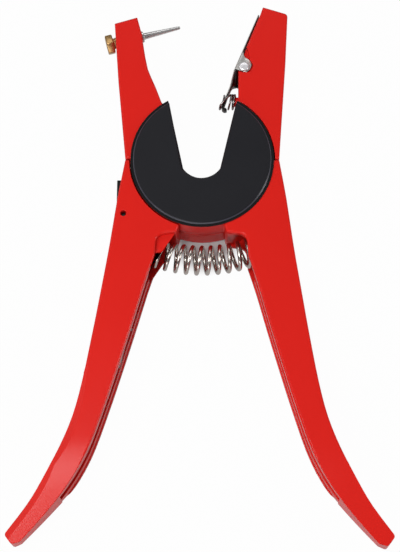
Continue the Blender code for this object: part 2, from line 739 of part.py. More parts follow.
def spare_ribs(shop, casting):
    """Two ribs across the left channel, each with a hole for the spare needle."""
    frame = spare_frame()
    length = NEEDLE_TAIL + NEEDLE_LENGTH
    for share in RIB_PLACE_SHARES:
        place = -NEEDLE_TAIL + length * share
        half = MIDDLE - FLANGE / 2
        corners = [(-RIB_RECESS, -half), (RIB_REACH, -half), (RIB_REACH, half), (-RIB_RECESS, half)]
        rib = shop.plate("spare_rib", [corners], place, place + RIB_THICKNESS, frame=frame)
        hole = shop.rod(
            "spare_hole", (0, 0, place - OVERRUN), (0, 0, place + OVERRUN), NEEDLE_BASE_RADIUS + GAP, 16
        )
        hole.data.transform(frame)
        shop.join(casting, rib)
        shop.cut(casting, hole)


def front_cover(shop, material, root):
    bottom = FRONT_DISC_TOP + GAP
    top = THICKNESS + FRONT_COVER_PROUD
    cover = shop.plate("front_hub_cover", [disc_with_notch(HUB_RADIUS)], bottom, top, COVER_EDGE)
    for place, angle in BUSH_ANGLES.items():
        x, y = polar(BUSH_CIRCLE_RADIUS, angle)
        boss_end = FRONT_DISC_BOTTOM + RIM_STEP
        boss = shop.rod(place + "_boss", (x, y, boss_end), (x, y, bottom + COVER_EDGE * 2), BUSH_RADIUS)
        pilot = shop.rod(place + "_pilot", (x, y, boss_end - OVERRUN), (x, y, bottom), BOSS_PILOT, 16)
        shop.join(cover, boss)
        shop.cut(cover, pilot)
    return shop.place(cover, material, root)


def rear_cover(shop, material, root):
    top = REAR_COVER_SINK + REAR_COVER_THICKNESS
    outline = disc_with_notch(HUB_RADIUS)
    cover = shop.plate("rear_hub_cover", [outline], REAR_COVER_SINK, top, COVER_EDGE)
    for place, angle in BUSH_ANGLES.items():
        x, y = polar(BUSH_CIRCLE_RADIUS, angle)
        hole = shop.rod(place + "_screw_hole", (x, y, -OVERRUN), (x, y, top + OVERRUN), BUSH_BORE, 16)
        sink = shop.rod(
            place + "_countersink", (x, y, -OVERRUN), (x, y, REAR_COVER_SINK + SCREW_HEAD_HEIGHT + GAP),
            SCREW_HEAD_RADIUS + GAP,
        )
        shop.cut(cover, hole, sink)
    return shop.place(cover, material, root)


def hub_fasteners(shop, steel, root):
    """Three bushes that ride in the clip lever's slots and the screws that clamp the covers."""
    bush_bottom = REAR_COVER_SINK + REAR_COVER_THICKNESS + GAP
    bush_top = FRONT_DISC_BOTTOM + RIM_STEP - GAP
    head_bottom = REAR_COVER_SINK
    head_top = head_bottom + SCREW_HEAD_HEIGHT
    screw_top = FRONT_DISC_TOP - GAP
    for place, angle in BUSH_ANGLES.items():
        x, y = polar(BUSH_CIRCLE_RADIUS, angle)
        bush = shop.rod(place + "_guide_bush", (x, y, bush_bottom), (x, y, bush_top), BUSH_RADIUS)
        bore = shop.rod(
            place + "_bush_bore", (x, y, bush_bottom - OVERRUN), (x, y, bush_top + OVERRUN), BUSH_BORE, 16
        )
        shop.cut(bush, bore)
        shop.place(bush, steel, root)
        profile = [
            (0, screw_top), (SCREW_RADIUS, screw_top), (SCREW_RADIUS, head_top),
            (SCREW_HEAD_RADIUS, head_top), (SCREW_HEAD_RADIUS, head_bottom),
            (0, head_bottom),
        ]
        screw = shop.turned(place + "_hub_screw", profile, Matrix.Translation((x, y, 0)), 16)
        drive = shop.rod(
            place + "_hex_drive", (x, y, head_bottom - OVERRUN), (x, y, head_bottom + DRIVE_DEPTH),
            DRIVE_RADIUS, 6,
        )
        shop.cut(screw, drive)
        shop.place(screw, steel, root)


def needle_profile():
    """Radius and height from the tip down to the end of the tail."""
    flange = NEEDLE_FLANGE_THICKNESS + GAP
    tip = NEEDLE_LENGTH
    return [
        (0, tip), (NEEDLE_POINT_RADIUS, tip), (NEEDLE_TIP_RADIUS, tip - NEEDLE_TIP_RADIUS),
        (NEEDLE_BASE_RADIUS, flange), (NEEDLE_FLANGE_RADIUS, flange), (NEEDLE_FLANGE_RADIUS, GAP),
        (NEEDLE_BASE_RADIUS, GAP), (NEEDLE_BASE_RADIUS, -NEEDLE_TAIL), (0, -NEEDLE_TAIL),
    ]


def needle(shop, steel, root):
    return shop.place(shop.turned("needle", needle_profile(), needle_frame()), steel, root)


def needle_screw(shop, brass, root):
    """Hexagonal brass screw whose socket grips the tail of the needle."""
    depth = jaw_depth()
    head_face = -depth - HOLDER_SHANK_SHOWING
    head_end = head_face - HOLDER_HEAD_THICKNESS
    shank_end = -depth + HOLDER_BORE_DEPTH - GAP
    turn = Matrix.Rotation(HOLDER_HEAD_TURN, 4, "Z")
    frame = needle_frame()
    screw = shop.rod("needle_screw", (0, 0, head_end), (0, 0, head_face), HOLDER_HEAD_CORNER_RADIUS, 6)
    screw.data.transform(frame @ turn)
    small = HOLDER_HEAD_CORNER_RADIUS - 2 * HOLDER_HEAD_CHAMFER
    full = HOLDER_HEAD_CORNER_RADIUS + HOLDER_HEAD_CHAMFER
    above, below = head_face + HOLDER_HEAD_CHAMFER, head_end - HOLDER_HEAD_CHAMFER
    profile = [
        (0, above), (small, above), (full, above - 2 * HOLDER_HEAD_CHAMFER),
        (full, below + 2 * HOLDER_HEAD_CHAMFER), (small, below), (0, below),
    ]
    shop.combine(screw, shop.turned("head_round", profile, frame), "INTERSECT")
    shank_start = head_face - HOLDER_HEAD_THICKNESS / 4
    shank = shop.rod("screw_shank", (0, 0, shank_start), (0, 0, shank_end), HOLDER_SHANK_RADIUS)
    socket_start, socket_end = (0, 0, -NEEDLE_TAIL - GAP), (0, 0, shank_end + OVERRUN)
    socket = shop.rod("screw_socket", socket_start, socket_end, NEEDLE_BASE_RADIUS + GAP, 16)
    for tool in (shank, socket):
        tool.data.transform(frame)
    shop.join(screw, shank)
    shop.cut(screw, socket)
    return shop.place(screw, brass, root)


def clip_direction():
    """Direction of the clip's sheet from its pivot up to the lip it rests on."""
    pivot = Vector(clip_pivot())
    lip = Vector(jaw_points(CLIP_JAW_INNER_SHARES)[1])
    reach = lip - pivot
    angle = math.atan2(reach.y, reach.x) - math.asin((CLIP_STANDOFF - GAP) / reach.length)
    return Vector((math.cos(angle), math.sin(angle)))


def clip_frame():
    """Origin on the sheet opposite the pivot: X up the sheet, Y along the pivot, Z outward."""
    up = clip_direction()
    out = Vector((-up.y, up.x, 0))
    pivot = Vector((*clip_pivot(), MIDDLE))
    along = Vector((0, 0, -1))
    turn = Matrix((Vector((*up, 0)), along, out)).transposed().to_4x4()
    return Matrix.Translation(pivot + out * CLIP_STANDOFF) @ turn


def clip_half_width():
    return MIDDLE - EAR_RECESS + GAP + CLIP_SHEET


def tag_clip(shop, steel, parent):
    """Folded sheet: a forked plate, two ears on the pivot and a bent tongue for the thumb."""
    half = clip_half_width()
    edge = half - CLIP_SHEET / 2
    tongue = CLIP_TONGUE_WIDTH / 2
    slot = CLIP_SLOT_WIDTH / 2
    top = CLIP_TOP_REACH
    fork = [(CLIP_SLOT_FLOOR, -slot), *arc(slot, math.pi * 1.5, math.pi / 2, (CLIP_SLOT_FLOOR, 0))]
    outline = [(top, -edge), (top, -slot), *fork, (top, slot), (top, edge)]
    lower_edge = [(CLIP_SHOULDER_START, edge), (CLIP_SHOULDER_END, tongue), (CLIP_STRAIGHT_TAIL, tongue)]
    outline += [(-down, side) for down, side in lower_edge]
    outline += [(-down, -side) for down, side in lower_edge[::-1]]
    frame = clip_frame()
    clip = shop.plate("tag_clip", [outline], 0, CLIP_SHEET, frame=frame)
    x, y = clip_pivot()
    up = clip_direction()
    out = Vector((-up.y, up.x))
    pivot = Vector((x, y))
    inside = out * (CLIP_STANDOFF + CLIP_SHEET - FUSE)
    lobe_start = math.atan2(up.y, up.x) - EAR_LOBE_TURN
    ear = [tuple(pivot + inside + up * EAR_RISE)]
    ear += arc(EAR_RADIUS, lobe_start, -math.asin(EAR_BELOW / EAR_RADIUS), (x, y))
    ear += [tuple(pivot + inside - up * EAR_BELOW)]
    for name, level in (("front_ear", MIDDLE + half - CLIP_SHEET), ("rear_ear", MIDDLE - half)):
        shop.join(clip, shop.plate(name, [ear], level, level + CLIP_SHEET))
    hole = shop.rod(
        "ear_hole", (x, y, -OVERRUN), (x, y, THICKNESS + OVERRUN), PIVOT_RADIUS + GAP, 16
    )
    shop.join(clip, tongue_solid(shop, frame, tongue - FUSE))
    shop.cut(clip, hole)
    return shop.place(clip, steel, parent)


def tongue_solid(shop, frame, half):
    """The lower, bent end of the clip with its rolled tip."""
    root = (-CLIP_STRAIGHT_TAIL + CLIP_SHEET, CLIP_SHEET / 2)
    knee = (-CLIP_STRAIGHT_TAIL, CLIP_SHEET / 2)
    straight = math.pi + CLIP_TAIL_BEND
    end = polar(CLIP_BENT_TAIL_LENGTH, straight, knee)
    centre = polar(CLIP_CURL_RADIUS, straight + math.pi / 2, end)
    curl = arc(CLIP_CURL_RADIUS, straight - math.pi / 2, straight + CLIP_CURL_SWEEP - math.pi / 2, centre)
    line = [root, knee] + curl
    near = offset(line, CLIP_SHEET / 2 - FUSE)
    far = offset(line, FUSE - CLIP_SHEET / 2)
    swap = Matrix(((1, 0, 0, 0), (0, 0, -1, 0), (0, 1, 0, 0), (0, 0, 0, 1)))
    return shop.plate("tongue", [near + far[::-1]], -half, half, frame=frame @ swap)


def clip_pin(shop, steel, parent):
    x, y = clip_pivot()
    half = clip_half_width() + GAP
    shoulder = half + PIVOT_HEAD_HEIGHT
    chamfer = PIVOT_HEAD_HEIGHT / 2
    profile = [
        (0, shoulder), (PIVOT_HEAD_RADIUS - chamfer, shoulder), (PIVOT_HEAD_RADIUS, shoulder - chamfer),
        (PIVOT_HEAD_RADIUS, half), (PIVOT_RADIUS, half), (PIVOT_RADIUS, -half),
        (PIVOT_HEAD_RADIUS, -half), (PIVOT_HEAD_RADIUS, chamfer - shoulder),
        (PIVOT_HEAD_RADIUS - chamfer, -shoulder), (0, -shoulder),
    ]
    pin = shop.turned("clip_pivot_pin", profile, Matrix.Translation((x, y, MIDDLE)), 16)
    return shop.place(pin, steel, parent)


def clip_tongue_x(height):
    """Where the inner face of the clip's lower end is at a height, above its knee or below it."""
    up = clip_direction()
    out = Vector((-up.y, up.x))
    knee = Vector(clip_pivot()) + out * CLIP_STANDOFF - up * CLIP_STRAIGHT_TAIL
    lean = math.atan2(up.y, up.x) + (CLIP_TAIL_BEND if height < knee.y else 0)
    return knee.x + (height - knee.y) / math.tan(lean)


def clip_spring_axis(share):
    """Centre line of the clip's spring, from the tongue at -1 to the jaw at 1."""
    wall = jaw_points(CLIP_JAW_INNER_SHARES)[-1][0]
    end = wall - GAP - CLIP_SPRING_WIRE_RADIUS
    coil_top = CLIP_SPRING_HEIGHT + CLIP_SPRING_OUTER_RADIUS
    start = clip_tongue_x(coil_top) + GAP + CLIP_SPRING_WIRE_RADIUS
    x = start + (end - start) * (share + 1) / 2
    return Vector((x, CLIP_SPRING_HEIGHT, MIDDLE)), Vector((1, 0, 0))


def springs(shop, steel, root, hinge):
    """Both coils, each one unbroken wire; its least gap to itself is measured and printed."""
    radius = SPRING_OUTER_RADIUS - SPRING_WIRE_RADIUS
    points = helix(spring_axis, SPRING_TURNS, SPRING_START_TURN, radius)
    gap = least_self_gap(points, SPRING_WIRE_RADIUS)
    print("main_spring least gap to itself", round(gap * MM_PER_METRE, 2), "mm")
    shop.place(shop.tube("main_spring", points, SPRING_WIRE_RADIUS), steel, root)
    radius = CLIP_SPRING_OUTER_RADIUS - CLIP_SPRING_WIRE_RADIUS
    points = helix(clip_spring_axis, CLIP_SPRING_TURNS, 0, radius)
    gap = least_self_gap(points, CLIP_SPRING_WIRE_RADIUS)
    print("clip_spring least gap to itself", round(gap * MM_PER_METRE, 2), "mm")
    shop.place(shop.tube("clip_spring", points, CLIP_SPRING_WIRE_RADIUS), steel, hinge)


def lock_catch(shop, black, parent):
    """Small lever in the left handle whose tooth drops into a notch in the pin lever's hub."""
    x, y = CATCH_PIVOT_X, CATCH_PIVOT_Y
    top = y + CATCH_LENGTH
    back = x - CATCH_BACK
    pad_low = top - CATCH_PAD_LENGTH
    tooth = x + CATCH_TOOTH_REACH
    outline = [
        (back, top), (tooth, top), (tooth, top - CATCH_TOOTH_HEIGHT),
        (x + CATCH_BAR, top - CATCH_TOOTH_HEIGHT), (x + CATCH_BAR, y + CATCH_EYE_RADIUS),
        *arc(CATCH_EYE_RADIUS, math.pi / 4, -math.pi, (x, y)), (back + CATCH_BAR, pad_low), (back, pad_low),
    ]
    bottom = CATCH_FRONT - CATCH_THICKNESS
    catch = shop.plate("lock_catch", [outline], bottom, CATCH_FRONT)
    hole_bottom, hole_top = (x, y, bottom - OVERRUN), (x, y, CATCH_FRONT + OVERRUN)
    shop.cut(catch, shop.rod("catch_hole", hole_bottom, hole_top, CATCH_PIN_RADIUS + GAP, 16))
    return shop.place(catch, black, parent)


def build():
    clear_scene()
    shop = Workshop(new_collection("ear_tag_applicator"), new_collection("cutters"))
    red = paint("red_enamel", (0.68, 0.022, 0.014), 0.28, 0.0)
    black = paint("black_plastic", (0.020, 0.021, 0.025), 0.42, 0.0)
    steel = paint("bright_steel", (0.62, 0.61, 0.59), 0.22, 1.0)
    brass = paint("brass", (0.46, 0.30, 0.12), 0.35, 1.0)

    def pivot_empty(name, parent, place):
        empty = bpy.data.objects.new(name, None)
        shop.parts.objects.link(empty)
        empty.parent = parent
        empty.location = place
        return empty

    root = pivot_empty("hub_centre", None, (0, HINGE_Y, 0))
    hinge = pivot_empty("lever_hinge", root, (0, 0, 0))

    pin_lever(shop, red, root)
    clip_lever(shop, red, hinge)
    front_cover(shop, black, root)
    rear_cover(shop, black, root)
    hub_fasteners(shop, steel, root)
    needle(shop, steel, root)
    needle_screw(shop, brass, root)
    clip_pin(shop, steel, hinge)
    pivot = (*clip_pivot(), 0)
    clip_empty = pivot_empty("clip_hinge", hinge, pivot)
    clip = tag_clip(shop, steel, clip_empty)
    clip.location = -Vector(pivot)
    springs(shop, steel, root, hinge)
    catch_place = (CATCH_PIVOT_X, CATCH_PIVOT_Y, 0)
    catch_empty = pivot_empty("catch_hinge", hinge, catch_place)
    catch = lock_catch(shop, black, catch_empty)
    catch.location = -Vector(catch_place)
    pin = shop.rod(
        "catch_pivot_pin", (CATCH_PIVOT_X, CATCH_PIVOT_Y, CATCH_PIN_SINK),
        (CATCH_PIVOT_X, CATCH_PIVOT_Y, THICKNESS - CATCH_PIN_SINK), CATCH_PIN_RADIUS, 16,
    )
    shop.place(pin, steel, hinge)
    spare = shop.turned("spare_needle", needle_profile(), spare_frame())
    shop.place(spare, steel, hinge)
    for tool in shop.cutters.objects:
        tool.parent = root


build()
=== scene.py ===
"""Looks of the ear tag applicator: red cast levers, black hub covers, plated clip, needle and springs."""

import math

import bmesh
import bpy
from mathutils import Matrix, Vector


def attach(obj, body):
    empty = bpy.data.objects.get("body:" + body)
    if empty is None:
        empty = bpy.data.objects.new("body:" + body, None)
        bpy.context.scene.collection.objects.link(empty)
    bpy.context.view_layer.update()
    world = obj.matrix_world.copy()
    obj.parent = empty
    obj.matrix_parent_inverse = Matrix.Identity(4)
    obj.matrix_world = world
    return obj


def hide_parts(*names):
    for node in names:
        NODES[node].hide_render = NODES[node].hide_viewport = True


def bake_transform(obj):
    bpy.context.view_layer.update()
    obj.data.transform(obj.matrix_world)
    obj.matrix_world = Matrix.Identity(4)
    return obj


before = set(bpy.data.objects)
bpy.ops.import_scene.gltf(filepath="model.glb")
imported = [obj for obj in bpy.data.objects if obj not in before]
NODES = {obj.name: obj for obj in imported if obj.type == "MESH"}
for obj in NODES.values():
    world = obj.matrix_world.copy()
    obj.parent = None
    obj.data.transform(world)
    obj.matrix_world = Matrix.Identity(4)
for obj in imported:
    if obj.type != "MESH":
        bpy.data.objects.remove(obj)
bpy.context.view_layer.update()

# Places taken from the solids, in metres
HUB = Vector((0, 0.046515, 0))
FRONT = 0.023
MIDDLE = FRONT / 2

# Shading and facets
ROUND_SIDES = 48
SMALL_SIDES = 32
EDGE_SEGMENTS = 3
SMOOTH_ANGLE = math.radians(32)
WELD = 0.000002

# Camera of the photograph
CAMERA_TARGET = Vector((-0.00054, -0.005855, 0.021))
CAMERA_DISTANCE = 0.700
CAMERA_TILT = math.radians(17)
CAMERA_YAW = math.radians(1)
CAMERA_ROLL = math.radians(0.5)
CAMERA_LENS = 107.4
CAMERA_SENSOR = 36


# Tools of the trade

def only(*pieces):
    """Selects these pieces and nothing else."""
    bpy.ops.object.select_all(action="DESELECT")
    for piece in pieces:
        piece.select_set(True)
    bpy.context.view_layer.objects.active = pieces[0]


def named(name):
    """Names the object that an operator has just made."""
    piece = bpy.context.object
    piece.name = piece.data.name = name
    return piece


def apply_all(piece):
    only(piece)
    for modifier in list(piece.modifiers):
        bpy.ops.object.modifier_apply(modifier=modifier.name)


def put(piece, matrix):
    """Moves a finished mesh to its place and leaves its object at the origin."""
    piece.data.transform(matrix)
    piece.matrix_world = Matrix.Identity(4)
    return piece


def tidy_mesh(piece, weld=WELD):
    only(piece)
    bpy.ops.object.mode_set(mode="EDIT")
    bpy.ops.mesh.select_all(action="SELECT")
    bpy.ops.mesh.remove_doubles(threshold=weld)
    bpy.ops.mesh.normals_make_consistent(inside=False)
    bpy.ops.object.mode_set(mode="OBJECT")


def soften(piece, width, segments=EDGE_SEGMENTS, angle=math.radians(30), clamp=True):
    """Rounds every edge sharper than the angle."""
    bevel = piece.modifiers.new("edge round", "BEVEL")
    bevel.width = width
    bevel.segments = segments
    bevel.limit_method = "ANGLE"
    bevel.angle_limit = angle
    bevel.use_clamp_overlap = clamp
    apply_all(piece)


def crossing(face):
    """The point where the outline of a face crosses itself, and the corners of the smaller loop, or None."""
    corners = [loop.vert for loop in face.loops]
    count = len(corners)
    across = face.normal.orthogonal().normalized()
    up = face.normal.cross(across)
    flat = [(corner.co.dot(across), corner.co.dot(up)) for corner in corners]
    for i in range(count):
        (ax, ay), (bx, by) = flat[i], flat[(i + 1) % count]
        for j in range(i + 2, count - (i == 0)):
            (cx, cy), (dx, dy) = flat[j], flat[(j + 1) % count]
            area = (bx - ax) * (dy - cy) - (by - ay) * (dx - cx)
            if abs(area) < 1e-16 or min(cx, dx) > max(ax, bx) or max(cx, dx) < min(ax, bx):
                continue
            first = ((cx - ax) * (dy - cy) - (cy - ay) * (dx - cx)) / area
            second = ((cx - ax) * (by - ay) - (cy - ay) * (bx - ax)) / area
            if 0 < first < 1 and 0 < second < 1:
                loops = corners[i + 1:j + 1], corners[j + 1:] + corners[:i + 1]
                loop = min(loops, key=lambda part: sum((a.co - b.co).length for a, b in zip(part, part[1:])))
                return corners[i].co.lerp(corners[(i + 1) % count].co, first), loop
    return None


def uncross(piece, rounds=30):
    """Draws together the small loops that a rounded edge leaves where the outline of a face crosses itself."""
    shape = bmesh.new()
    shape.from_mesh(piece.data)
    for _ in range(rounds):
        targets = {}
        moved = set()
        for face in shape.faces:
            found = crossing(face) if len(face.verts) > 3 else None
            if found and len(found[1]) > 1 and not moved.intersection(found[1]):
                point, loop = found
                moved.update(loop)
                loop[0].co = point
                targets.update({corner: loop[0] for corner in loop[1:]})
        if not targets:
            break
        bmesh.ops.weld_verts(shape, targetmap=targets)
    shape.to_mesh(piece.data)
    shape.free()


def shade(piece, angle=SMOOTH_ANGLE):
    only(piece)
    bpy.ops.object.shade_smooth_by_angle(angle=angle)


def even_normals(piece):
    """Keeps flat faces flat beside their rounded edges."""
    weight = piece.modifiers.new("flat faces", "WEIGHTED_NORMAL")
    weight.weight = 100
    weight.keep_sharp = True
    apply_all(piece)


def copy_of(node, name):
    """A merged copy of a solid of the frame, with its flat faces whole again."""
    piece = NODES[node].copy()
    piece.data = NODES[node].data.copy()
    piece.name = piece.data.name = name
    bpy.context.scene.collection.objects.link(piece)
    only(piece)
    bpy.ops.object.mode_set(mode="EDIT")
    bpy.ops.mesh.select_all(action="SELECT")
    bpy.ops.mesh.remove_doubles(threshold=WELD)
    bpy.ops.mesh.dissolve_limited(angle_limit=math.radians(0.4))
    bpy.ops.object.mode_set(mode="OBJECT")
    return piece


def turned(name, steps, sides=ROUND_SIDES):
    """A round piece drawn out of a disc: every step is a radius and a height."""
    radius, height = steps[0]
    bpy.ops.object.select_all(action="DESELECT")
    bpy.ops.mesh.primitive_circle_add(
        vertices=sides, radius=radius, fill_type="NGON", location=(0, 0, height)
    )
    piece = named(name)
    bpy.ops.object.transform_apply(location=True, rotation=False, scale=False)
    bpy.ops.object.mode_set(mode="EDIT")
    bpy.ops.mesh.select_all(action="SELECT")
    for next_radius, next_height in steps[1:]:
        rise = next_height - height
        bpy.ops.mesh.extrude_region_move(TRANSFORM_OT_translate={"value": (0, 0, rise)})
        share = next_radius / radius
        bpy.ops.transform.resize(value=(share, share, 1), center_override=(0, 0, next_height))
        radius, height = next_radius, next_height
    bpy.ops.object.mode_set(mode="OBJECT")
    tidy_mesh(piece)
    return piece


def plate(name, outline, bottom, top):
    """A flat blank cut to an outline and drawn up to its thickness."""
    bpy.ops.object.select_all(action="DESELECT")
    bpy.ops.mesh.primitive_circle_add(vertices=len(outline), radius=1, fill_type="NGON")
    piece = named(name)
    for vertex, (x, y) in zip(piece.data.vertices, outline):
        vertex.co = (x, y, bottom)
    bpy.ops.object.mode_set(mode="EDIT")
    bpy.ops.mesh.select_all(action="SELECT")
    bpy.ops.mesh.extrude_region_move(TRANSFORM_OT_translate={"value": (0, 0, top - bottom)})
    bpy.ops.object.mode_set(mode="OBJECT")
    tidy_mesh(piece)
    return piece


def arc(radius, start, end, centre=(0, 0), count=12):
    """Points along an arc, both ends included."""
    turns = [start + (end - start) * step / count for step in range(count + 1)]
    return [(centre[0] + radius * math.cos(turn), centre[1] + radius * math.sin(turn)) for turn in turns]


def flat_frame(origin, along):
    """A frame with Z along a flat direction and Y down through the thickness."""
    along = Vector((*along, 0)).normalized()
    down = Vector((0, 0, -1))
    turn = Matrix((down.cross(along), down, along)).transposed().to_4x4()
    return Matrix.Translation(HUB + Vector((*origin, MIDDLE))) @ turn


def carve(piece, tool, operation="DIFFERENCE"):
    """Cuts a tool away from a piece, or joins or crosses them, and removes the tool."""
    step = piece.modifiers.new("carve", "BOOLEAN")
    step.operation = operation
    step.solver = "EXACT"
    step.object = tool
    apply_all(piece)
    bpy.data.objects.remove(tool, do_unlink=True)


def wire(name, points, radius, sides=16):
    """A round wire along a line of points, closed at both ends."""
    line = bpy.data.curves.new(name, "CURVE")
    line.dimensions = "3D"
    line.bevel_depth = radius
    line.bevel_resolution = sides // 4 - 1
    line.use_fill_caps = True
    spline = line.splines.new("POLY")
    spline.points.add(len(points) - 1)
    for point, place in zip(spline.points, points):
        point.co = (*place, 1)
    piece = bpy.data.objects.new(name, line)
    bpy.context.scene.collection.objects.link(piece)
    only(piece)
    bpy.ops.object.convert(target="MESH")
    tidy_mesh(bpy.context.object)
    return bpy.context.object


def finish(piece, material, body, slot, *nodes):
    """Gives a finished piece its material and its body, and hides the solids it stands for; its slot is not used."""
    piece.data.materials.clear()
    piece.data.materials.append(material)
    if body:
        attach(piece, body)
    if nodes:
        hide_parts(*nodes)
    return piece


# Materials

def new_material(name):
    material = bpy.data.materials.new(name)
    material.use_nodes = True
    return material, material.node_tree, material.node_tree.nodes["Principled BSDF"]


def group_socket(tree, name, kind, inward, value=None):
    socket = tree.interface.new_socket(name=name, in_out="INPUT" if inward else "OUTPUT", socket_type=kind)
    if value is not None:
        socket.default_value = value
    return socket


def surface_noise_group():
    """Fine relief and slow change of shade, both on the piece's own coordinates."""
    tree = bpy.data.node_groups.new("surface_unevenness", "ShaderNodeTree")
    group_socket(tree, "Colour", "NodeSocketColor", True, (0.5, 0.5, 0.5, 1))
    group_socket(tree, "Shade Change", "NodeSocketFloat", True, 0.05)
    group_socket(tree, "Roughness", "NodeSocketFloat", True, 0.3)
    group_socket(tree, "Roughness Change", "NodeSocketFloat", True, 0.05)
    group_socket(tree, "Grain Size", "NodeSocketFloat", True, 900.0)
    group_socket(tree, "Relief", "NodeSocketFloat", True, 0.1)
    group_socket(tree, "Colour", "NodeSocketColor", False)
    group_socket(tree, "Roughness", "NodeSocketFloat", False)
    group_socket(tree, "Normal", "NodeSocketVector", False)
    nodes, links = tree.nodes, tree.links
    enter, leave = nodes.new("NodeGroupInput"), nodes.new("NodeGroupOutput")
    place = nodes.new("ShaderNodeTexCoord")
    slow = nodes.new("ShaderNodeTexNoise")
    slow.inputs["Scale"].default_value = 38
    slow.inputs["Detail"].default_value = 4
    grain = nodes.new("ShaderNodeTexNoise")
    grain.inputs["Detail"].default_value = 2
    links.new(place.outputs["Object"], slow.inputs["Vector"])
    links.new(place.outputs["Object"], grain.inputs["Vector"])
    links.new(enter.outputs["Grain Size"], grain.inputs["Scale"])

    def centred(source, amount):
        minus = nodes.new("ShaderNodeMath")
        minus.operation = "SUBTRACT"
        minus.inputs[1].default_value = 0.5
        links.new(source, minus.inputs[0])
        times = nodes.new("ShaderNodeMath")
        times.operation = "MULTIPLY"
        links.new(minus.outputs[0], times.inputs[0])
        links.new(amount, times.inputs[1])
        return times.outputs[0]

    shade_part = centred(slow.outputs["Fac"], enter.outputs["Shade Change"])
    one = nodes.new("ShaderNodeMath")
    one.inputs[1].default_value = 1
    links.new(shade_part, one.inputs[0])
    tint = nodes.new("ShaderNodeVectorMath")
    tint.operation = "SCALE"
    links.new(enter.outputs["Colour"], tint.inputs[0])
    links.new(one.outputs[0], tint.inputs["Scale"])
    links.new(tint.outputs["Vector"], leave.inputs["Colour"])
    rough_part = centred(slow.outputs["Fac"], enter.outputs["Roughness Change"])
    rough = nodes.new("ShaderNodeMath")
    links.new(rough_part, rough.inputs[0])
    links.new(enter.outputs["Roughness"], rough.inputs[1])
    links.new(rough.outputs[0], leave.inputs["Roughness"])
    bump = nodes.new("ShaderNodeBump")
    bump.inputs["Distance"].default_value = 0.0001
    links.new(enter.outputs["Relief"], bump.inputs["Strength"])
    links.new(grain.outputs["Fac"], bump.inputs["Height"])
    links.new(bump.outputs["Normal"], leave.inputs["Normal"])
    return tree


UNEVENNESS = surface_noise_group()


def uneven(name, colour, roughness, shade_change, roughness_change, grain, relief):
    material, tree, shader = new_material(name)
    unevenness = tree.nodes.new("ShaderNodeGroup")
    unevenness.node_tree = UNEVENNESS
    unevenness.inputs["Colour"].default_value = (*colour, 1)
    unevenness.inputs["Shade Change"].default_value = shade_change
    unevenness.inputs["Roughness"].default_value = roughness
    unevenness.inputs["Roughness Change"].default_value = roughness_change
    unevenness.inputs["Grain Size"].default_value = grain
    unevenness.inputs["Relief"].default_value = relief
    tree.links.new(unevenness.outputs["Colour"], shader.inputs["Base Color"])
    tree.links.new(unevenness.outputs["Roughness"], shader.inputs["Roughness"])
    tree.links.new(unevenness.outputs["Normal"], shader.inputs["Normal"])
    return material, shader


RED_ENAMEL, shader = uneven("red_enamel", (0.69, 0.016, 0.011), 0.24, 0.05, 0.06, 700, 0.10)
shader.inputs["IOR"].default_value = 1.25
BLACK_ENAMEL, shader = uneven("black_enamel", (0.0105, 0.0105, 0.0135), 0.40, 0.12, 0.08, 1600, 0.12)
shader.inputs["Specular IOR Level"].default_value = 0.22
BLACK_PLASTIC, shader = uneven("black_plastic", (0.010, 0.0095, 0.010), 0.50, 0.10, 0.06, 2400, 0.15)
shader.inputs["Specular IOR Level"].default_value = 0.12
PLATED_STEEL, shader = uneven("plated_steel", (0.70, 0.69, 0.67), 0.13, 0.05, 0.06, 1500, 0.05)
shader.inputs["Metallic"].default_value = 1
NEEDLE_STEEL, shader = uneven("needle_steel", (0.74, 0.73, 0.72), 0.20, 0.05, 0.06, 1500, 0.05)
shader.inputs["Metallic"].default_value = 0.75
# Painted shade: the kept needle's steel is a darkened copy of the needle's, for its place deep in the handle's channel
SHADED_NEEDLE_STEEL, shader = uneven("shaded_needle_steel", (0.20, 0.19, 0.18), 0.38, 0.10, 0.10, 1500, 0.10)
shader.inputs["Metallic"].default_value = 1
SPRING_STEEL, shader = uneven("spring_steel", (0.55, 0.51, 0.47), 0.26, 0.08, 0.08, 1500, 0.05)
shader.inputs["Metallic"].default_value = 1
# Painted shade: the clip spring's steel is a darkened copy of the spring steel, for its place in the shadow of the jaw
SHADED_SPRING_STEEL, shader = uneven("shaded_spring_steel", (0.26, 0.24, 0.235), 0.24, 0.10, 0.08, 1500, 0.05)
shader.inputs["Metallic"].default_value = 1
BLACKENED_STEEL, shader = uneven("blackened_steel", (0.05, 0.048, 0.046), 0.45, 0.10, 0.08, 1500, 0.05)
shader.inputs["Metallic"].default_value = 1
BRIGHT_STEEL, shader = uneven("bright_steel", (0.80, 0.78, 0.80), 0.26, 0.06, 0.08, 1500, 0.05)
shader.inputs["Metallic"].default_value = 0.35
CLIP_STEEL, shader = uneven("clip_steel", (0.60, 0.585, 0.56), 0.34, 0.08, 0.10, 1200, 0.12)
shader.inputs["Metallic"].default_value = 0.65


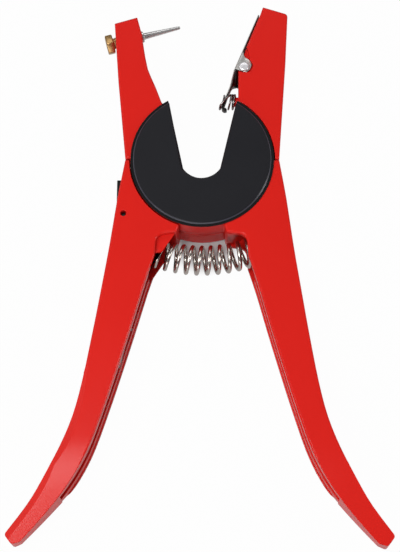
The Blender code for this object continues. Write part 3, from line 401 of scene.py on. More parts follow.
def paint_shade_inside(material, frame_place, depth, face, dark):
    """Paints shade on the inner side of a folded sheet: behind its middle plane and below its front edge."""
    tree = material.node_tree
    shader = tree.nodes["Principled BSDF"]
    source = shader.inputs["Base Color"].links[0].from_socket
    out = frame_place.to_3x3() @ Vector((0, 0, 1))
    level = out.dot(frame_place.translation)
    place = tree.nodes.new("ShaderNodeTexCoord")
    height = tree.nodes.new("ShaderNodeVectorMath")
    height.operation = "DOT_PRODUCT"
    height.inputs[1].default_value = out
    split = tree.nodes.new("ShaderNodeSeparateXYZ")
    tree.links.new(place.outputs["Object"], height.inputs[0])
    tree.links.new(place.outputs["Object"], split.inputs[0])
    masks = []
    for source_socket, start, end in ((height.outputs["Value"], level + depth + 0.0001, level + depth), (split.outputs["Z"], face, face - 0.0002)):
        fade = tree.nodes.new("ShaderNodeMapRange")
        fade.inputs["From Min"].default_value = min(start, end)
        fade.inputs["From Max"].default_value = max(start, end)
        fade.inputs["To Min"].default_value = 1
        fade.inputs["To Max"].default_value = 0
        tree.links.new(source_socket, fade.inputs["Value"])
        masks.append(fade.outputs["Result"])
    both = tree.nodes.new("ShaderNodeMath")
    both.operation = "MULTIPLY"
    tree.links.new(masks[0], both.inputs[0])
    tree.links.new(masks[1], both.inputs[1])
    share = tree.nodes.new("ShaderNodeMapRange")
    share.inputs["To Min"].default_value = 1
    share.inputs["To Max"].default_value = dark
    tree.links.new(both.outputs[0], share.inputs["Value"])
    tint = tree.nodes.new("ShaderNodeVectorMath")
    tint.operation = "SCALE"
    tree.links.new(source, tint.inputs[0])
    tree.links.new(share.outputs["Result"], tint.inputs["Scale"])
    tree.links.new(tint.outputs["Vector"], shader.inputs["Base Color"])


def paint_shade_towards(material, high, low, dark):
    """Paints shade on a plated piece along its length: full colour at the high end, dark at the low end."""
    tree = material.node_tree
    shader = tree.nodes["Principled BSDF"]
    source = shader.inputs["Base Color"].links[0].from_socket
    place = tree.nodes.new("ShaderNodeTexCoord")
    split = tree.nodes.new("ShaderNodeSeparateXYZ")
    tree.links.new(place.outputs["Object"], split.inputs[0])
    fade = tree.nodes.new("ShaderNodeMapRange")
    fade.inputs["From Min"].default_value = low
    fade.inputs["From Max"].default_value = high
    fade.inputs["To Min"].default_value = dark
    fade.inputs["To Max"].default_value = 1
    tree.links.new(split.outputs["Y"], fade.inputs["Value"])
    tint = tree.nodes.new("ShaderNodeVectorMath")
    tint.operation = "SCALE"
    tree.links.new(source, tint.inputs[0])
    tree.links.new(fade.outputs["Result"], tint.inputs["Scale"])
    tree.links.new(tint.outputs["Vector"], shader.inputs["Base Color"])


# Painted shade: the clip's tongue darkens towards its lower end.
paint_shade_towards(CLIP_STEEL, 0.0810, 0.0780, 0.18)


def paint_rim_light_and_ring_shade(material, ring_shade_share, rim_roughness):
    """Paints a highlight on the rim of the cover's disc and shade on the thin ring round it, by the distance from the
    hub's centre; the rim is also smoother and the ring rougher.
    """
    tree = material.node_tree
    shader = tree.nodes["Principled BSDF"]
    colour = shader.inputs["Base Color"].links[0].from_socket
    rough = shader.inputs["Roughness"].links[0].from_socket
    place = tree.nodes.new("ShaderNodeTexCoord")
    centre = tree.nodes.new("ShaderNodeVectorMath")
    centre.operation = "SUBTRACT"
    centre.inputs[1].default_value = HUB
    flat = tree.nodes.new("ShaderNodeVectorMath")
    flat.operation = "MULTIPLY"
    flat.inputs[1].default_value = (1, 1, 0)
    length = tree.nodes.new("ShaderNodeVectorMath")
    length.operation = "LENGTH"
    tree.links.new(place.outputs["Object"], centre.inputs[0])
    tree.links.new(centre.outputs["Vector"], flat.inputs[0])
    tree.links.new(flat.outputs["Vector"], length.inputs[0])

    def step_at(start, end, low, high):
        fade = tree.nodes.new("ShaderNodeMapRange")
        for name, value in (("From Min", start), ("From Max", end), ("To Min", low), ("To Max", high)):
            fade.inputs[name].default_value = value
        tree.links.new(length.outputs["Value"], fade.inputs["Value"])
        return fade.outputs["Result"]

    # Painted highlight on the disc's rim, painted shade on the ring beyond it
    rim_light_ring_shade = tree.nodes.new("ShaderNodeMath")
    rim_light_ring_shade.operation = "MULTIPLY"
    tree.links.new(step_at(0.02950, 0.02965, 1, 5.5), rim_light_ring_shade.inputs[0])
    tree.links.new(step_at(0.02995, 0.03005, 1, ring_shade_share / 5.5), rim_light_ring_shade.inputs[1])
    tint = tree.nodes.new("ShaderNodeVectorMath")
    tint.operation = "SCALE"
    tree.links.new(colour, tint.inputs[0])
    tree.links.new(rim_light_ring_shade.outputs[0], tint.inputs["Scale"])
    tree.links.new(tint.outputs["Vector"], shader.inputs["Base Color"])
    polish = tree.nodes.new("ShaderNodeMath")
    polish.operation = "MULTIPLY"
    tree.links.new(rough, polish.inputs[0])
    tree.links.new(step_at(0.02925, 0.02940, 1, rim_roughness), polish.inputs[1])
    matt = tree.nodes.new("ShaderNodeMath")
    matt.operation = "ADD"
    tree.links.new(polish.outputs[0], matt.inputs[0])
    tree.links.new(step_at(0.03003, 0.03010, 0, 0.4), matt.inputs[1])
    tree.links.new(matt.outputs[0], shader.inputs["Roughness"])


# Painted shade on the cover's ring and a painted highlight on its rim
paint_rim_light_and_ring_shade(BLACK_ENAMEL, 0.15, 0.7)
MACHINED_STEEL, shader = uneven("machined_steel", (0.46, 0.45, 0.43), 0.33, 0.08, 0.10, 1400, 0.15)
shader.inputs["Metallic"].default_value = 1
BRASS, shader = uneven("brass", (0.50, 0.31, 0.13), 0.34, 0.35, 0.15, 1100, 0.20)
shader.inputs["Metallic"].default_value = 1


# Castings

HANDLE_SPREAD = 0.0783
HANDLE_LENGTH = 0.1665
BAND_SHARES = (
    (0.480, 0.587), (0.560, 0.617), (0.640, 0.652), (0.700, 0.688), (0.760, 0.742), (0.840, 0.828),
    (0.900, 0.904), (0.972, 1.021), (1.020, 1.100),
)
BAND_WIDTHS = (0.0, 0.0012, 0.0022, 0.0027, 0.0030, 0.0032, 0.0033, 0.0034, 0.0035)
BAND_DROP = 0.40
HEEL_SHARES = ((0.840, 0.674), (0.870, 0.718), (0.900, 0.765), (0.950, 0.856), (0.990, 0.934), (1.020, 0.990))
HEEL_WIDTHS = (0.0, 0.0012, 0.0022, 0.0026, 0.0026, 0.0026)
HEEL_DROP = 1.70
CASTING_ROUND = 0.00026
TAPER_START = 0.800
TAPER_REACH = 0.011
TIP_DROP = 0.0056


def smooth_line(points, steps=6):
    """A smooth curve through the points."""
    line = []
    last = len(points) - 1
    for i in range(last):
        a, b = Vector(points[max(i - 1, 0)]), Vector(points[i])
        c, d = Vector(points[i + 1]), Vector(points[min(i + 2, last)])
        for step in range(steps):
            t = step / steps
            line.append((2 * b + (c - a) * t + (2 * a - 5 * b + 4 * c - d) * t**2 + (3 * b - a - 3 * c + d) * t**3) / 2)
    line.append(Vector(points[last]))
    return line


def handle_path(side, shares, widths):
    """A smooth line down a handle, given by shares of its length and spread; side is -1 left, 1 right."""
    return smooth_line([
        (side * HANDLE_SPREAD * out, HUB.y - HANDLE_LENGTH * down, width)
        for (down, out), width in zip(shares, widths)
    ])


def into_handle(path, i, side):
    """Direction into the handle from a point of its inner edge, out of it from its outer edge."""
    ahead, behind = path[min(i + 1, len(path) - 1)], path[max(i - 1, 0)]
    along = Vector((ahead[0] - behind[0], ahead[1] - behind[1])).normalized()
    return Vector((-along.y, along.x)) * side


def band_cutter(side, face, shares, widths, slope, edge):
    """A long wedge that slopes an edge of a handle: face is -1 rear, 1 front; edge is 1 outer, -1 inner."""
    path = handle_path(side, shares, widths)
    level = FRONT if face > 0 else 0
    taper_start, taper_end, tip_drop = HUB.y - TAPER_START * HANDLE_LENGTH, HUB.y - HANDLE_LENGTH, TIP_DROP
    rows = []
    for i, (x, y, width) in enumerate(path):
        out = into_handle(path, i, side) * edge
        drop = max(0, (taper_start - y) / (taper_start - taper_end)) * tip_drop
        here = level - face * drop
        width = max(width, 0.00001)
        inner = Vector((x, y)) - out * width
        outer = Vector((x, y)) + out * 0.002
        rows.append((
            (*(Vector((x, y)) - out * (width + 0.0015)), here + face * 0.0015 * slope),
            (*outer, here - face * (width + 0.002) * slope),
            (*outer, here + face * 0.003),
            (*(Vector((x, y)) - out * (width + 0.0015)), here + face * 0.003),
        ))
    bpy.ops.object.select_all(action="DESELECT")
    bpy.ops.mesh.primitive_grid_add(x_subdivisions=len(rows) - 1, y_subdivisions=3, size=1)
    piece = named("band_cutter")
    mesh = piece.data
    # The grid is walked column by column: four points of the wedge's section by as many rows as the path has
    order = sorted(range(len(mesh.vertices)), key=lambda i: (round(mesh.vertices[i].co.x, 5), mesh.vertices[i].co.y))
    for place, index in enumerate(order):
        mesh.vertices[index].co = rows[place // 4][place % 4]
    bpy.ops.object.mode_set(mode="EDIT")
    bpy.ops.mesh.select_all(action="DESELECT")
    bpy.ops.object.mode_set(mode="OBJECT")
    for edge in mesh.edges:
        a, b = (order.index(v) % 4 for v in edge.vertices)
        edge.select = a == b and a in (0, 3)
    bpy.ops.object.mode_set(mode="EDIT")
    bpy.ops.mesh.select_mode(type="EDGE")
    bpy.ops.mesh.bridge_edge_loops()
    bpy.ops.mesh.select_all(action="SELECT")
    bpy.ops.mesh.fill_holes(sides=4)
    bpy.ops.object.mode_set(mode="OBJECT")
    tidy_mesh(piece)
    return piece


def taper_cutter(face):
    """A long flat tool whose curved underside rounds the line where a handle starts to taper."""
    level = FRONT if face > 0 else 0
    start, slope = HUB.y - TAPER_START * HANDLE_LENGTH, math.atan(TIP_DROP / ((1 - TAPER_START) * HANDLE_LENGTH))
    radius = TAPER_REACH / math.tan(slope / 2)
    steps = 12
    # Section seen from the side: along the handle and up from its face
    line = [(start + TAPER_REACH - radius * math.sin(slope * i / steps), radius * (math.cos(slope * i / steps) - 1)) for i in range(steps + 1)]
    line = [(line[0][0] + 0.002, 0.0001)] + line + [(line[-1][0] - 0.002, line[-1][1] - 0.002 * math.tan(slope) + 0.0001)]
    above = [(line[-1][0], 0.004), (line[0][0], 0.004)]
    piece = plate("taper_cutter", [(y, height) for y, height in line + above], -0.1, 0.1)
    piece.data.transform(Matrix(((0, 0, 1, 0), (1, 0, 0, 0), (0, face, 0, level), (0, 0, 0, 1))))
    tidy_mesh(piece)
    return piece


def casting(node, name, body, side):
    piece = copy_of(node, name)
    for face in (1, -1):
        carve(piece, taper_cutter(face))
    if side < 0:
        for face in (1, -1):
            carve(piece, band_cutter(side, face, BAND_SHARES, BAND_WIDTHS, BAND_DROP, 1))
    carve(piece, band_cutter(side, -1, HEEL_SHARES, HEEL_WIDTHS, HEEL_DROP, -1))
    tidy_mesh(piece, 0.00015)
    soften(piece, CASTING_ROUND, 2, math.radians(14), clamp=False)
    uncross(piece)
    shade(piece, math.radians(35))
    even_normals(piece)
    return finish(piece, RED_ENAMEL, body, "red_enamel", node)


casting("pin_lever_casting", "pin_lever_body", "pin_lever", 1)
casting("clip_lever_casting", "clip_lever_body", "clip_lever", -1)


# Thin black ring round the front cover: painted shade over the shadowed gap round the hub
SHADE_RING_RADIUS = 0.0311
NOTCH_DEPTH = 0.0089
NOTCH_ARC = 0.0099
NOTCH_FOOT = 0.0082
NOTCH_MOUTH = 0.0151


def shade_ring_outline():
    """The round edge of the cover's thin black ring, with the notch of the hub."""
    middle = NOTCH_ARC - NOTCH_DEPTH
    foot_y = middle - math.sqrt(NOTCH_ARC**2 - NOTCH_FOOT**2)
    rise = math.sqrt(SHADE_RING_RADIUS**2 - NOTCH_MOUTH**2)
    mouth = math.atan2(rise, NOTCH_MOUTH)
    foot = math.atan2(foot_y - middle, NOTCH_FOOT)
    rim = arc(SHADE_RING_RADIUS, math.pi - mouth, 2 * math.pi + mouth, count=120)
    return rim + arc(NOTCH_ARC, foot, -math.pi - foot, (0, middle), 24)


def hub_disc(node, name, material, slot):
    piece = copy_of(node, name)
    soften(piece, 0.00025, 2)
    # The thin black ring over the gap round the front cover is painted shade
    if node == "front_hub_cover":
        shade_ring = plate("shade_ring", shade_ring_outline(), FRONT + 0.00005, FRONT + 0.00035)
        shade_ring.data.transform(Matrix.Translation(HUB))
        carve(piece, shade_ring, "UNION")
    shade(piece, math.radians(35))
    even_normals(piece)
    return finish(piece, material, "pin_lever", slot, node)


hub_disc("front_hub_cover", "front_cover_disc", BLACK_ENAMEL, "black_enamel")
hub_disc("rear_hub_cover", "rear_cover_disc", BLACK_ENAMEL, "black_enamel")


# Needles and the brass screw

NEEDLE_LENGTH = 0.0183
NEEDLE_TAIL = 0.0120
JAW_DEPTH = 0.0112385
NEEDLE_PLACE = flat_frame((-0.0282899, 0.0631572), (0.965729, 0.2595524))
SPARE_PLACE = flat_frame((-0.0318250, -0.0724103), (-0.1770847, -0.9841956))
NEEDLE_STEPS = (
    (0.00110, -0.01200), (0.00140, -0.01170), (0.00140, 0.00030), (0.00235, 0.00030), (0.00255, 0.00040),
    (0.00260, 0.00060), (0.00260, 0.00090), (0.00255, 0.00105), (0.00235, 0.00118), (0.00185, 0.00125),
    (0.00160, 0.00145), (0.00148, 0.00180), (0.00142, 0.00240), (0.00138, 0.00360), (0.00078, 0.01740),
    (0.00072, 0.01780), (0.00050, 0.01815), (0.00025, 0.01828),
)


def needle(name, node, body, place, material):
    piece = put(turned(name, NEEDLE_STEPS, 40), place)
    shade(piece)
    return finish(piece, material, body, "plated_steel", node)


needle("tagging_needle", "needle", "pin_lever", NEEDLE_PLACE, NEEDLE_STEEL)
needle("kept_needle", "spare_needle", "clip_lever", SPARE_PLACE, SHADED_NEEDLE_STEEL)

HEAD_FACE = -JAW_DEPTH - 0.0015
HEAD_END = HEAD_FACE - 0.0032
HEAD_CORNER = 0.0047
SHANK_END = -JAW_DEPTH + 0.0043


def brass_screw():
    """Hexagonal head with turned rims, a collar and a shank whose socket holds the needle's tail."""
    bpy.ops.object.select_all(action="DESELECT")
    bpy.ops.mesh.primitive_circle_add(
        vertices=6, radius=HEAD_CORNER, fill_type="NGON", location=(0, 0, HEAD_END), rotation=(0, 0, math.radians(16))
    )
    head = named("brass_needle_screw")
    bpy.ops.object.transform_apply(location=True, rotation=True, scale=False)
    bpy.ops.object.mode_set(mode="EDIT")
    bpy.ops.mesh.select_all(action="SELECT")
    bpy.ops.mesh.extrude_region_move(TRANSFORM_OT_translate={"value": (0, 0, HEAD_FACE - HEAD_END)})
    bpy.ops.object.mode_set(mode="OBJECT")
    tidy_mesh(head)
    soften(head, 0.00035, 2, math.radians(50))
    rim = turned("rim", (
        (0.00395, HEAD_END - 0.0001), (0.00435, HEAD_END + 0.00012), (0.00460, HEAD_END + 0.00040),
        (0.00475, HEAD_END + 0.00080), (0.00475, HEAD_FACE - 0.00080), (0.00460, HEAD_FACE - 0.00040),
        (0.00435, HEAD_FACE - 0.00012), (0.00395, HEAD_FACE + 0.0001),
    ))
    carve(head, rim, "INTERSECT")
    shank = turned("shank", (
        (0.00250, HEAD_FACE - 0.0008), (0.00250, HEAD_FACE + 0.0003), (0.00235, HEAD_FACE + 0.0005),
        (0.00235, HEAD_FACE + 0.0008), (0.00250, HEAD_FACE + 0.0010), (0.00250, HEAD_FACE + 0.0015),
        (0.00250, SHANK_END - 0.0003), (0.00225, SHANK_END),
    ))
    carve(head, shank, "UNION")
    socket = turned("socket", ((0.0017, -NEEDLE_TAIL - 0.0003), (0.0017, SHANK_END + 0.001)), SMALL_SIDES)
    carve(head, socket)
    soften(head, 0.00012, 2, math.radians(40))
    shade(head)
    put(head, NEEDLE_PLACE)
    return finish(head, BRASS, "pin_lever", "brass", "needle_screw")


brass_screw()


# Tag clip, its pivot pin and its spring

SHEET = 0.0008
CLIP_HALF = 0.0105
CLIP_PIVOT = (0.018091, 0.043967)
CLIP_UP = (0.3706528, 0.9287715)
CLIP_PLACE = flat_frame((0.0153976, 0.0450419), (-0.9287715, 0.3706528))
STANDOFF = 0.0029
TURN_OVER = Matrix(((1, 0, 0, 0), (0, 0, -1, 0), (0, 1, 0, 0), (0, 0, 0, 1)))


def clip_sheet():
    """Folded sheet: a forked plate with two rounded ears, and a tongue with a rolled end."""
    edge, tongue, slot, top = CLIP_HALF - 0.0001, 0.0019, 0.0040, 0.0262
    fork = arc(slot, math.pi * 1.5, math.pi / 2, (0.0105, 0), 16)
    # Plan seen from the other jaw, X up the sheet and Y across it
    plan = [(top - 0.0012, -edge), *arc(0.0012, -math.pi / 2, 0, (top - 0.0012, -edge + 0.0012), 4)]
    plan += [*arc(0.0008, 0, math.pi / 2, (top - 0.0008, -slot - 0.0008), 4)]
    plan += fork
    plan += [*arc(0.0008, -math.pi / 2, 0, (top - 0.0008, slot + 0.0008), 4)]
    plan += [*arc(0.0012, 0, math.pi / 2, (top - 0.0012, edge - 0.0012), 4)]
    lower = [(-0.0021, edge), (-0.0030, edge - 0.0008), (-0.0046, 0.0066), (-0.0064, 0.0034), (-0.0078, 0.0021), (-0.0092, tongue)]
    plan += lower + [(-0.0112, tongue), (-0.0112, -tongue)] + [(x, -y) for x, y in lower[::-1]]
    bend = 0.0011
    outside = CLIP_HALF
    inside = CLIP_HALF - SHEET
    # Section across the sheet: a shallow channel with rounded folds
    section = [(-outside, -0.0080), *[(y, z) for y, z in arc(bend, math.pi, math.pi / 2, (-outside + bend, SHEET - bend), 6)]]
    section += [*arc(bend, math.pi / 2, 0, (outside - bend, SHEET - bend), 6), (outside, -0.0080), (inside, -0.0080)]
    small = bend - SHEET
    section += [*arc(small, 0, math.pi / 2, (inside - small, -small), 3), *arc(small, math.pi / 2, math.pi, (-inside + small, -small), 3)]
    section += [(-inside, -0.0080)]
    channel = plate("tag_clip_sheet", section, -0.0112, top)
    channel.data.transform(Matrix(((0, 0, 1, 0), (1, 0, 0, 0), (0, 1, 0, 0), (0, 0, 0, 1))))
    carve(channel, plate("plan", plan, -0.0100, 0.0050), "INTERSECT")
    # Side view, X up the sheet and Y out of the jaw: the sheet's own strip and the ear below it
    side = [(top + 0.001, 0.0003), (top + 0.001, 0.003), (-0.013, 0.003), (-0.013, -0.0002), (-0.0024, -0.0002)]
    side += [(-0.0021, -0.0050)]
    side += arc(0.0034, math.radians(231), math.radians(372), (0.0008, -0.0024), 18)
    side += [(0.0050, -0.0009), (0.0058, -0.0002), (0.0072, 0.0003)]
    profile = plate("side", side, -0.0200, 0.0200)
    profile.data.transform(TURN_OVER)
    carve(channel, profile, "INTERSECT")
    hole = turned("hole", ((0.00155, -0.0200), (0.00155, 0.0200)), SMALL_SIDES)
    hole.data.transform(Matrix.Translation((0, 0, -STANDOFF)) @ Matrix.Rotation(math.pi / 2, 4, "X"))
    carve(channel, hole)
    # Tongue below the shoulders, with its rolled end
    straight = math.pi + math.radians(3)
    knee = (-0.0112, SHEET / 2)
    end = (knee[0] + 0.0064 * math.cos(straight), knee[1] + 0.0064 * math.sin(straight))
    centre = (end[0] + 0.0009 * math.cos(straight + math.pi / 2), end[1] + 0.0009 * math.sin(straight + math.pi / 2))
    near = [(-0.0103, SHEET), (knee[0], SHEET)] + arc(0.00135, straight - math.pi / 2, straight + math.radians(60), centre, 14)
    far = arc(0.00045, straight + math.radians(60), straight - math.pi / 2, centre, 8) + [(knee[0], 0), (-0.0103, 0)]
    tail = plate("tongue", near + far, -tongue + 0.00001, tongue - 0.00001)
    tail.data.transform(TURN_OVER)
    carve(channel, tail, "UNION")
    tidy_mesh(channel)
    soften(channel, 0.00012, 2, math.radians(40))
    shade(channel, math.radians(30))
    put(channel, CLIP_PLACE)
    # Painted shade: the sheet's inner side behind its fold is darkened.
    paint_shade_inside(CLIP_STEEL, CLIP_PLACE, 0.0004, 0.0219, 0.10)
    return finish(channel, CLIP_STEEL, "clip", "plated_steel", "tag_clip")


clip_sheet()


def pivot_pin():
    """Pin with a domed head at each end."""
    half, top = CLIP_HALF + 0.0003, 0.0006
    head = ((0.00208, 0.0), (0.00208, 0.00022), (0.00192, 0.00042), (0.00155, 0.00058), (0.00100, 0.00068), (0.00034, 0.00073))
    steps = [(radius, -half - height * top / 0.00075) for radius, height in head[::-1]]
    steps += [(0.00125, -half), (0.00125, half)]
    steps += [(radius, half + height * top / 0.00075) for radius, height in head]
    piece = put(turned("clip_pin", steps, 40), Matrix.Translation(HUB + Vector((*CLIP_PIVOT, MIDDLE))))
    shade(piece)
    return finish(piece, BRIGHT_STEEL, "clip_lever", "plated_steel", "clip_pivot_pin")


pivot_pin()


def clip_spring():
    """Small coil whose first loop reaches round the outside of the tongue."""
    points = []
    radius, height = 0.0032, 0.0315
    stages = ((0.0, 0.0083), (0.62, 0.0086), (0.88, 0.0112), (1.30, 0.0118), (3.10, 0.01435), (3.35, 0.0146))
    count = 150
    for step in range(count + 1):
        turn = 3.35 * step / count
        for (low, x_low), (high, x_high) in zip(stages, stages[1:]):
            if low <= turn <= high:
                x = x_low + (x_high - x_low) * (turn - low) / (high - low)
                break
        lean = 0.36 * max(0, 1 - max(0, x - 0.0112) / 0.0030)
        angle = 2 * math.pi * (turn + 0.5)
        up = -radius * math.cos(angle)
        points.append(HUB + Vector((x + lean * up, height + up, MIDDLE + radius * math.sin(angle))))
    piece = wire("clip_coil", points, 0.00045, 12)
    shade(piece, math.radians(60))
    finish(piece, SHADED_SPRING_STEEL, None, "plated_steel", "clip_spring")
    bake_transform(piece)
    return piece


clip_spring()


# Main spring

def main_spring():
    """Coil between the handles, bowed down and fanned out like the real one."""
    bow, half_span, drop = 0.0600, 0.0300, 0.0425
    radius, wire_radius, turns, first = 0.0057, 0.0009, 14.75, 0.06
    count = 14 * 48
    points = []
    for step in range(count + 1):
        share = 2 * step / count - 1
        angle = math.asin(half_span / bow) * share
        centre = Vector((bow * math.sin(angle), -drop + bow * (1 - math.cos(angle)), MIDDLE))
        across = Vector((-math.sin(angle), math.cos(angle), 0))
        turn = 2 * math.pi * (first + turns * step / count)
        points.append(HUB + centre - across * radius * math.cos(turn) + Vector((0, 0, radius * math.sin(turn))))
    piece = wire("handle_coil", points, wire_radius, 16)
    shade(piece, math.radians(60))
    finish(piece, SPRING_STEEL, None, "plated_steel", "main_spring")
    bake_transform(piece)
    return piece


main_spring()


# Catch and small pins

def lock_tab():
    piece = copy_of("lock_catch", "lock_tab")
    soften(piece, 0.00025, 3)
    shade(piece)
    even_normals(piece)
    return finish(piece, BLACK_PLASTIC, "catch", "black_plastic", "lock_catch")


lock_tab()


def catch_pin():
    steps = ((0.00070, 0.0025), (0.00100, 0.0028), (0.00100, 0.0202), (0.00085, 0.0204), (0.00055, 0.0205))
    piece = put(turned("catch_pin", steps, SMALL_SIDES), Matrix.Translation(HUB + Vector((-0.0337, -0.0248, 0))))
    shade(piece)
    return finish(piece, BLACKENED_STEEL, "clip_lever", "steel", "catch_pivot_pin")


catch_pin()


def hub_screw(name, node, angle):
    """Screw that clamps the covers, with a rounded rim and a hexagonal socket."""
    steps = (
        (0.00235, 0.00030), (0.00262, 0.00036), (0.00276, 0.00052), (0.00280, 0.00075), (0.00280, 0.00150),
        (0.00265, 0.00170), (0.00150, 0.00170), (0.00150, 0.02050), (0.00120, 0.02080),
    )
    screw = turned(name, steps, 40)
    bpy.ops.object.select_all(action="DESELECT")
    bpy.ops.mesh.primitive_circle_add(vertices=6, radius=0.00115, fill_type="NGON", location=(0, 0, -0.001))
    key = named("key")
    bpy.ops.object.transform_apply(location=True, rotation=False, scale=False)
    bpy.ops.object.mode_set(mode="EDIT")
    bpy.ops.mesh.select_all(action="SELECT")
    bpy.ops.mesh.extrude_region_move(TRANSFORM_OT_translate={"value": (0, 0, 0.0022)})
    bpy.ops.object.mode_set(mode="OBJECT")
    tidy_mesh(key)
    carve(screw, key)
    soften(screw, 0.00008, 2, math.radians(50))
    shade(screw)
    put(screw, Matrix.Translation(HUB + Vector((0.0200 * math.cos(angle), 0.0200 * math.sin(angle), 0))))
    return finish(screw, PLATED_STEEL, "pin_lever", "plated_steel", node)


for name, node, angle in (
    ("left_cover_screw", "left_hub_screw", 205), ("middle_cover_screw", "middle_hub_screw", 270),
    ("right_cover_screw", "right_hub_screw", 335),
):
    hub_screw(name, node, math.radians(angle))

for node in ("left_guide_bush", "middle_guide_bush", "right_guide_bush"):
    NODES[node].data.materials.clear()
    NODES[node].data.materials.append(MACHINED_STEEL)


# Stage, lamps and camera

def look_at(place, target):
    return (Vector(target) - Vector(place)).to_track_quat("-Z", "Y").to_euler()


def lamp(name, place, target, size, power, colour=(1, 1, 1)):
    data = bpy.data.lights.new(name, "AREA")
    data.shape = "RECTANGLE"
    data.size, data.size_y = size
    data.energy = power
    data.color = colour
    thing = bpy.data.objects.new(name, data)
    bpy.context.scene.collection.objects.link(thing)
    thing.location = place
    thing.rotation_euler = look_at(place, target)
    return thing


lamp("left_softbox", (-0.62, 0.10, 0.62), (-0.02, 0, 0), (0.60, 0.80), 1.82)
lamp("handle_strip", (-0.20, -0.15, 0.68), (-0.04, -0.05, 0), (0.20, 0.36), 2.6)
lamp("far_softbox", (-0.04, 0.58, 0.55), (0, 0, 0), (0.80, 0.26), 1.25)
lamp("near_softbox", (-0.15, -0.85, 0.30), (0, 0, 0), (0.8, 0.20), 1.82)
lamp("right_softbox", (0.95, -0.10, 0.24), (0, 0, 0), (0.30, 0.80), 4.8)
lamp("low_strip", (-0.62, -0.55, 0.17), (0, 0.03, 0.02), (0.40, 0.07), 0.6)

bpy.ops.object.select_all(action="DESELECT")
bpy.ops.mesh.primitive_plane_add(size=6, location=(0, 0, -0.0002))
floor = named("floor")
bpy.ops.object.transform_apply(location=True, rotation=False, scale=False)
floor_paint, tree, shader = new_material("floor_paper")
shader.inputs["Base Color"].default_value = (0.45, 0.45, 0.45, 1)
shader.inputs["Roughness"].default_value = 0.9
shader.inputs["Specular IOR Level"].default_value = 0.1
glow = tree.nodes.new("ShaderNodeEmission")
glow.inputs["Color"].default_value = (1, 1, 1, 1)
glow.inputs["Strength"].default_value = 1.0
rays = tree.nodes.new("ShaderNodeLightPath")
half = tree.nodes.new("ShaderNodeMath")
half.operation = "MULTIPLY"
half.inputs[1].default_value = 0.35
seen = tree.nodes.new("ShaderNodeMath")
seen.operation = "MAXIMUM"
also = tree.nodes.new("ShaderNodeMath")
also.operation = "MAXIMUM"
tree.links.new(rays.outputs["Is Glossy Ray"], half.inputs[0])
tree.links.new(rays.outputs["Is Camera Ray"], seen.inputs[0])
tree.links.new(half.outputs[0], seen.inputs[1])
tree.links.new(seen.outputs[0], also.inputs[0])
tree.links.new(rays.outputs["Is Transmission Ray"], also.inputs[1])
# Under the hub the paper keeps its own shadow; everywhere else it is lifted to white
place = tree.nodes.new("ShaderNodeTexCoord")
centre = tree.nodes.new("ShaderNodeVectorMath")
centre.operation = "SUBTRACT"
centre.inputs[1].default_value = (0.001, 0.018, 0)
length = tree.nodes.new("ShaderNodeVectorMath")
length.operation = "LENGTH"
spread = tree.nodes.new("ShaderNodeMapRange")
spread.interpolation_type = "SMOOTHSTEP"
spread.inputs["From Min"].default_value = 0.009
spread.inputs["From Max"].default_value = 0.018
spread.inputs["To Min"].default_value = 0.06
spread.inputs["To Max"].default_value = 0.98
tree.links.new(place.outputs["Object"], centre.inputs[0])
tree.links.new(centre.outputs["Vector"], length.inputs[0])
tree.links.new(length.outputs["Value"], spread.inputs["Value"])
part = tree.nodes.new("ShaderNodeMath")
part.operation = "MULTIPLY"
tree.links.new(also.outputs[0], part.inputs[0])
tree.links.new(spread.outputs["Result"], part.inputs[1])
blend = tree.nodes.new("ShaderNodeMixShader")
tree.links.new(part.outputs[0], blend.inputs["Fac"])
tree.links.new(shader.outputs["BSDF"], blend.inputs[1])
tree.links.new(glow.outputs["Emission"], blend.inputs[2])
tree.links.new(blend.outputs["Shader"], tree.nodes["Material Output"].inputs["Surface"])
floor.data.materials.append(floor_paint)

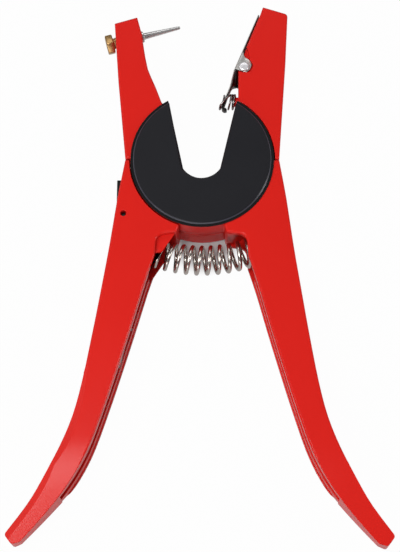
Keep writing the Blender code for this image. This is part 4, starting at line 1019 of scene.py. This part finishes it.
world = bpy.data.worlds.new("studio")
bpy.context.scene.world = world
world.use_nodes = True
tree = world.node_tree
sky = tree.nodes["Background"]
sky.inputs["Color"].default_value = (0.8, 0.82, 0.85, 1)
sky.inputs["Strength"].default_value = 0.12
paper = tree.nodes.new("ShaderNodeBackground")
paper.inputs["Color"].default_value = (1, 1, 1, 1)
paper.inputs["Strength"].default_value = 1.0
place = tree.nodes.new("ShaderNodeTexCoord")
split = tree.nodes.new("ShaderNodeSeparateXYZ")
tree.links.new(place.outputs["Generated"], split.inputs[0])
fade = tree.nodes.new("ShaderNodeMapRange")
fade.interpolation_type = "SMOOTHSTEP"
fade.inputs["From Min"].default_value = 0.0
fade.inputs["From Max"].default_value = 0.08
fade.inputs["To Min"].default_value = 1
fade.inputs["To Max"].default_value = 0
tree.links.new(split.outputs["Z"], fade.inputs["Value"])
rays = tree.nodes.new("ShaderNodeLightPath")
seen = tree.nodes.new("ShaderNodeMath")
seen.operation = "MAXIMUM"
also = tree.nodes.new("ShaderNodeMath")
also.operation = "MAXIMUM"
tree.links.new(rays.outputs["Is Camera Ray"], seen.inputs[0])
tree.links.new(rays.outputs["Is Glossy Ray"], seen.inputs[1])
tree.links.new(seen.outputs[0], also.inputs[0])
tree.links.new(rays.outputs["Is Transmission Ray"], also.inputs[1])
part = tree.nodes.new("ShaderNodeMath")
part.operation = "MULTIPLY"
tree.links.new(also.outputs[0], part.inputs[0])
tree.links.new(fade.outputs["Result"], part.inputs[1])
blend = tree.nodes.new("ShaderNodeMixShader")
tree.links.new(part.outputs[0], blend.inputs["Fac"])
tree.links.new(sky.outputs["Background"], blend.inputs[1])
tree.links.new(paper.outputs["Background"], blend.inputs[2])
tree.links.new(blend.outputs["Shader"], tree.nodes["World Output"].inputs["Surface"])

camera_data = bpy.data.cameras.new("camera")
camera = bpy.data.objects.new("camera", camera_data)
bpy.context.scene.collection.objects.link(camera)
away = Vector((
    math.sin(CAMERA_YAW),
    -math.sin(CAMERA_TILT) * math.cos(CAMERA_YAW),
    math.cos(CAMERA_TILT) * math.cos(CAMERA_YAW),
))
right = Vector((0, 1, 0)).cross(away).normalized()
camera.matrix_world = (
    Matrix.Translation(CAMERA_TARGET + CAMERA_DISTANCE * away)
    @ Matrix((right, away.cross(right), away)).transposed().to_4x4()
    @ Matrix.Rotation(CAMERA_ROLL, 4, "Z")
)
camera_data.sensor_fit = "VERTICAL"
camera_data.sensor_height = CAMERA_SENSOR
camera_data.lens = CAMERA_LENS
camera_data.clip_start = 0.01
bpy.context.scene.camera = camera
bpy.context.scene.view_settings.view_transform = "Standard"
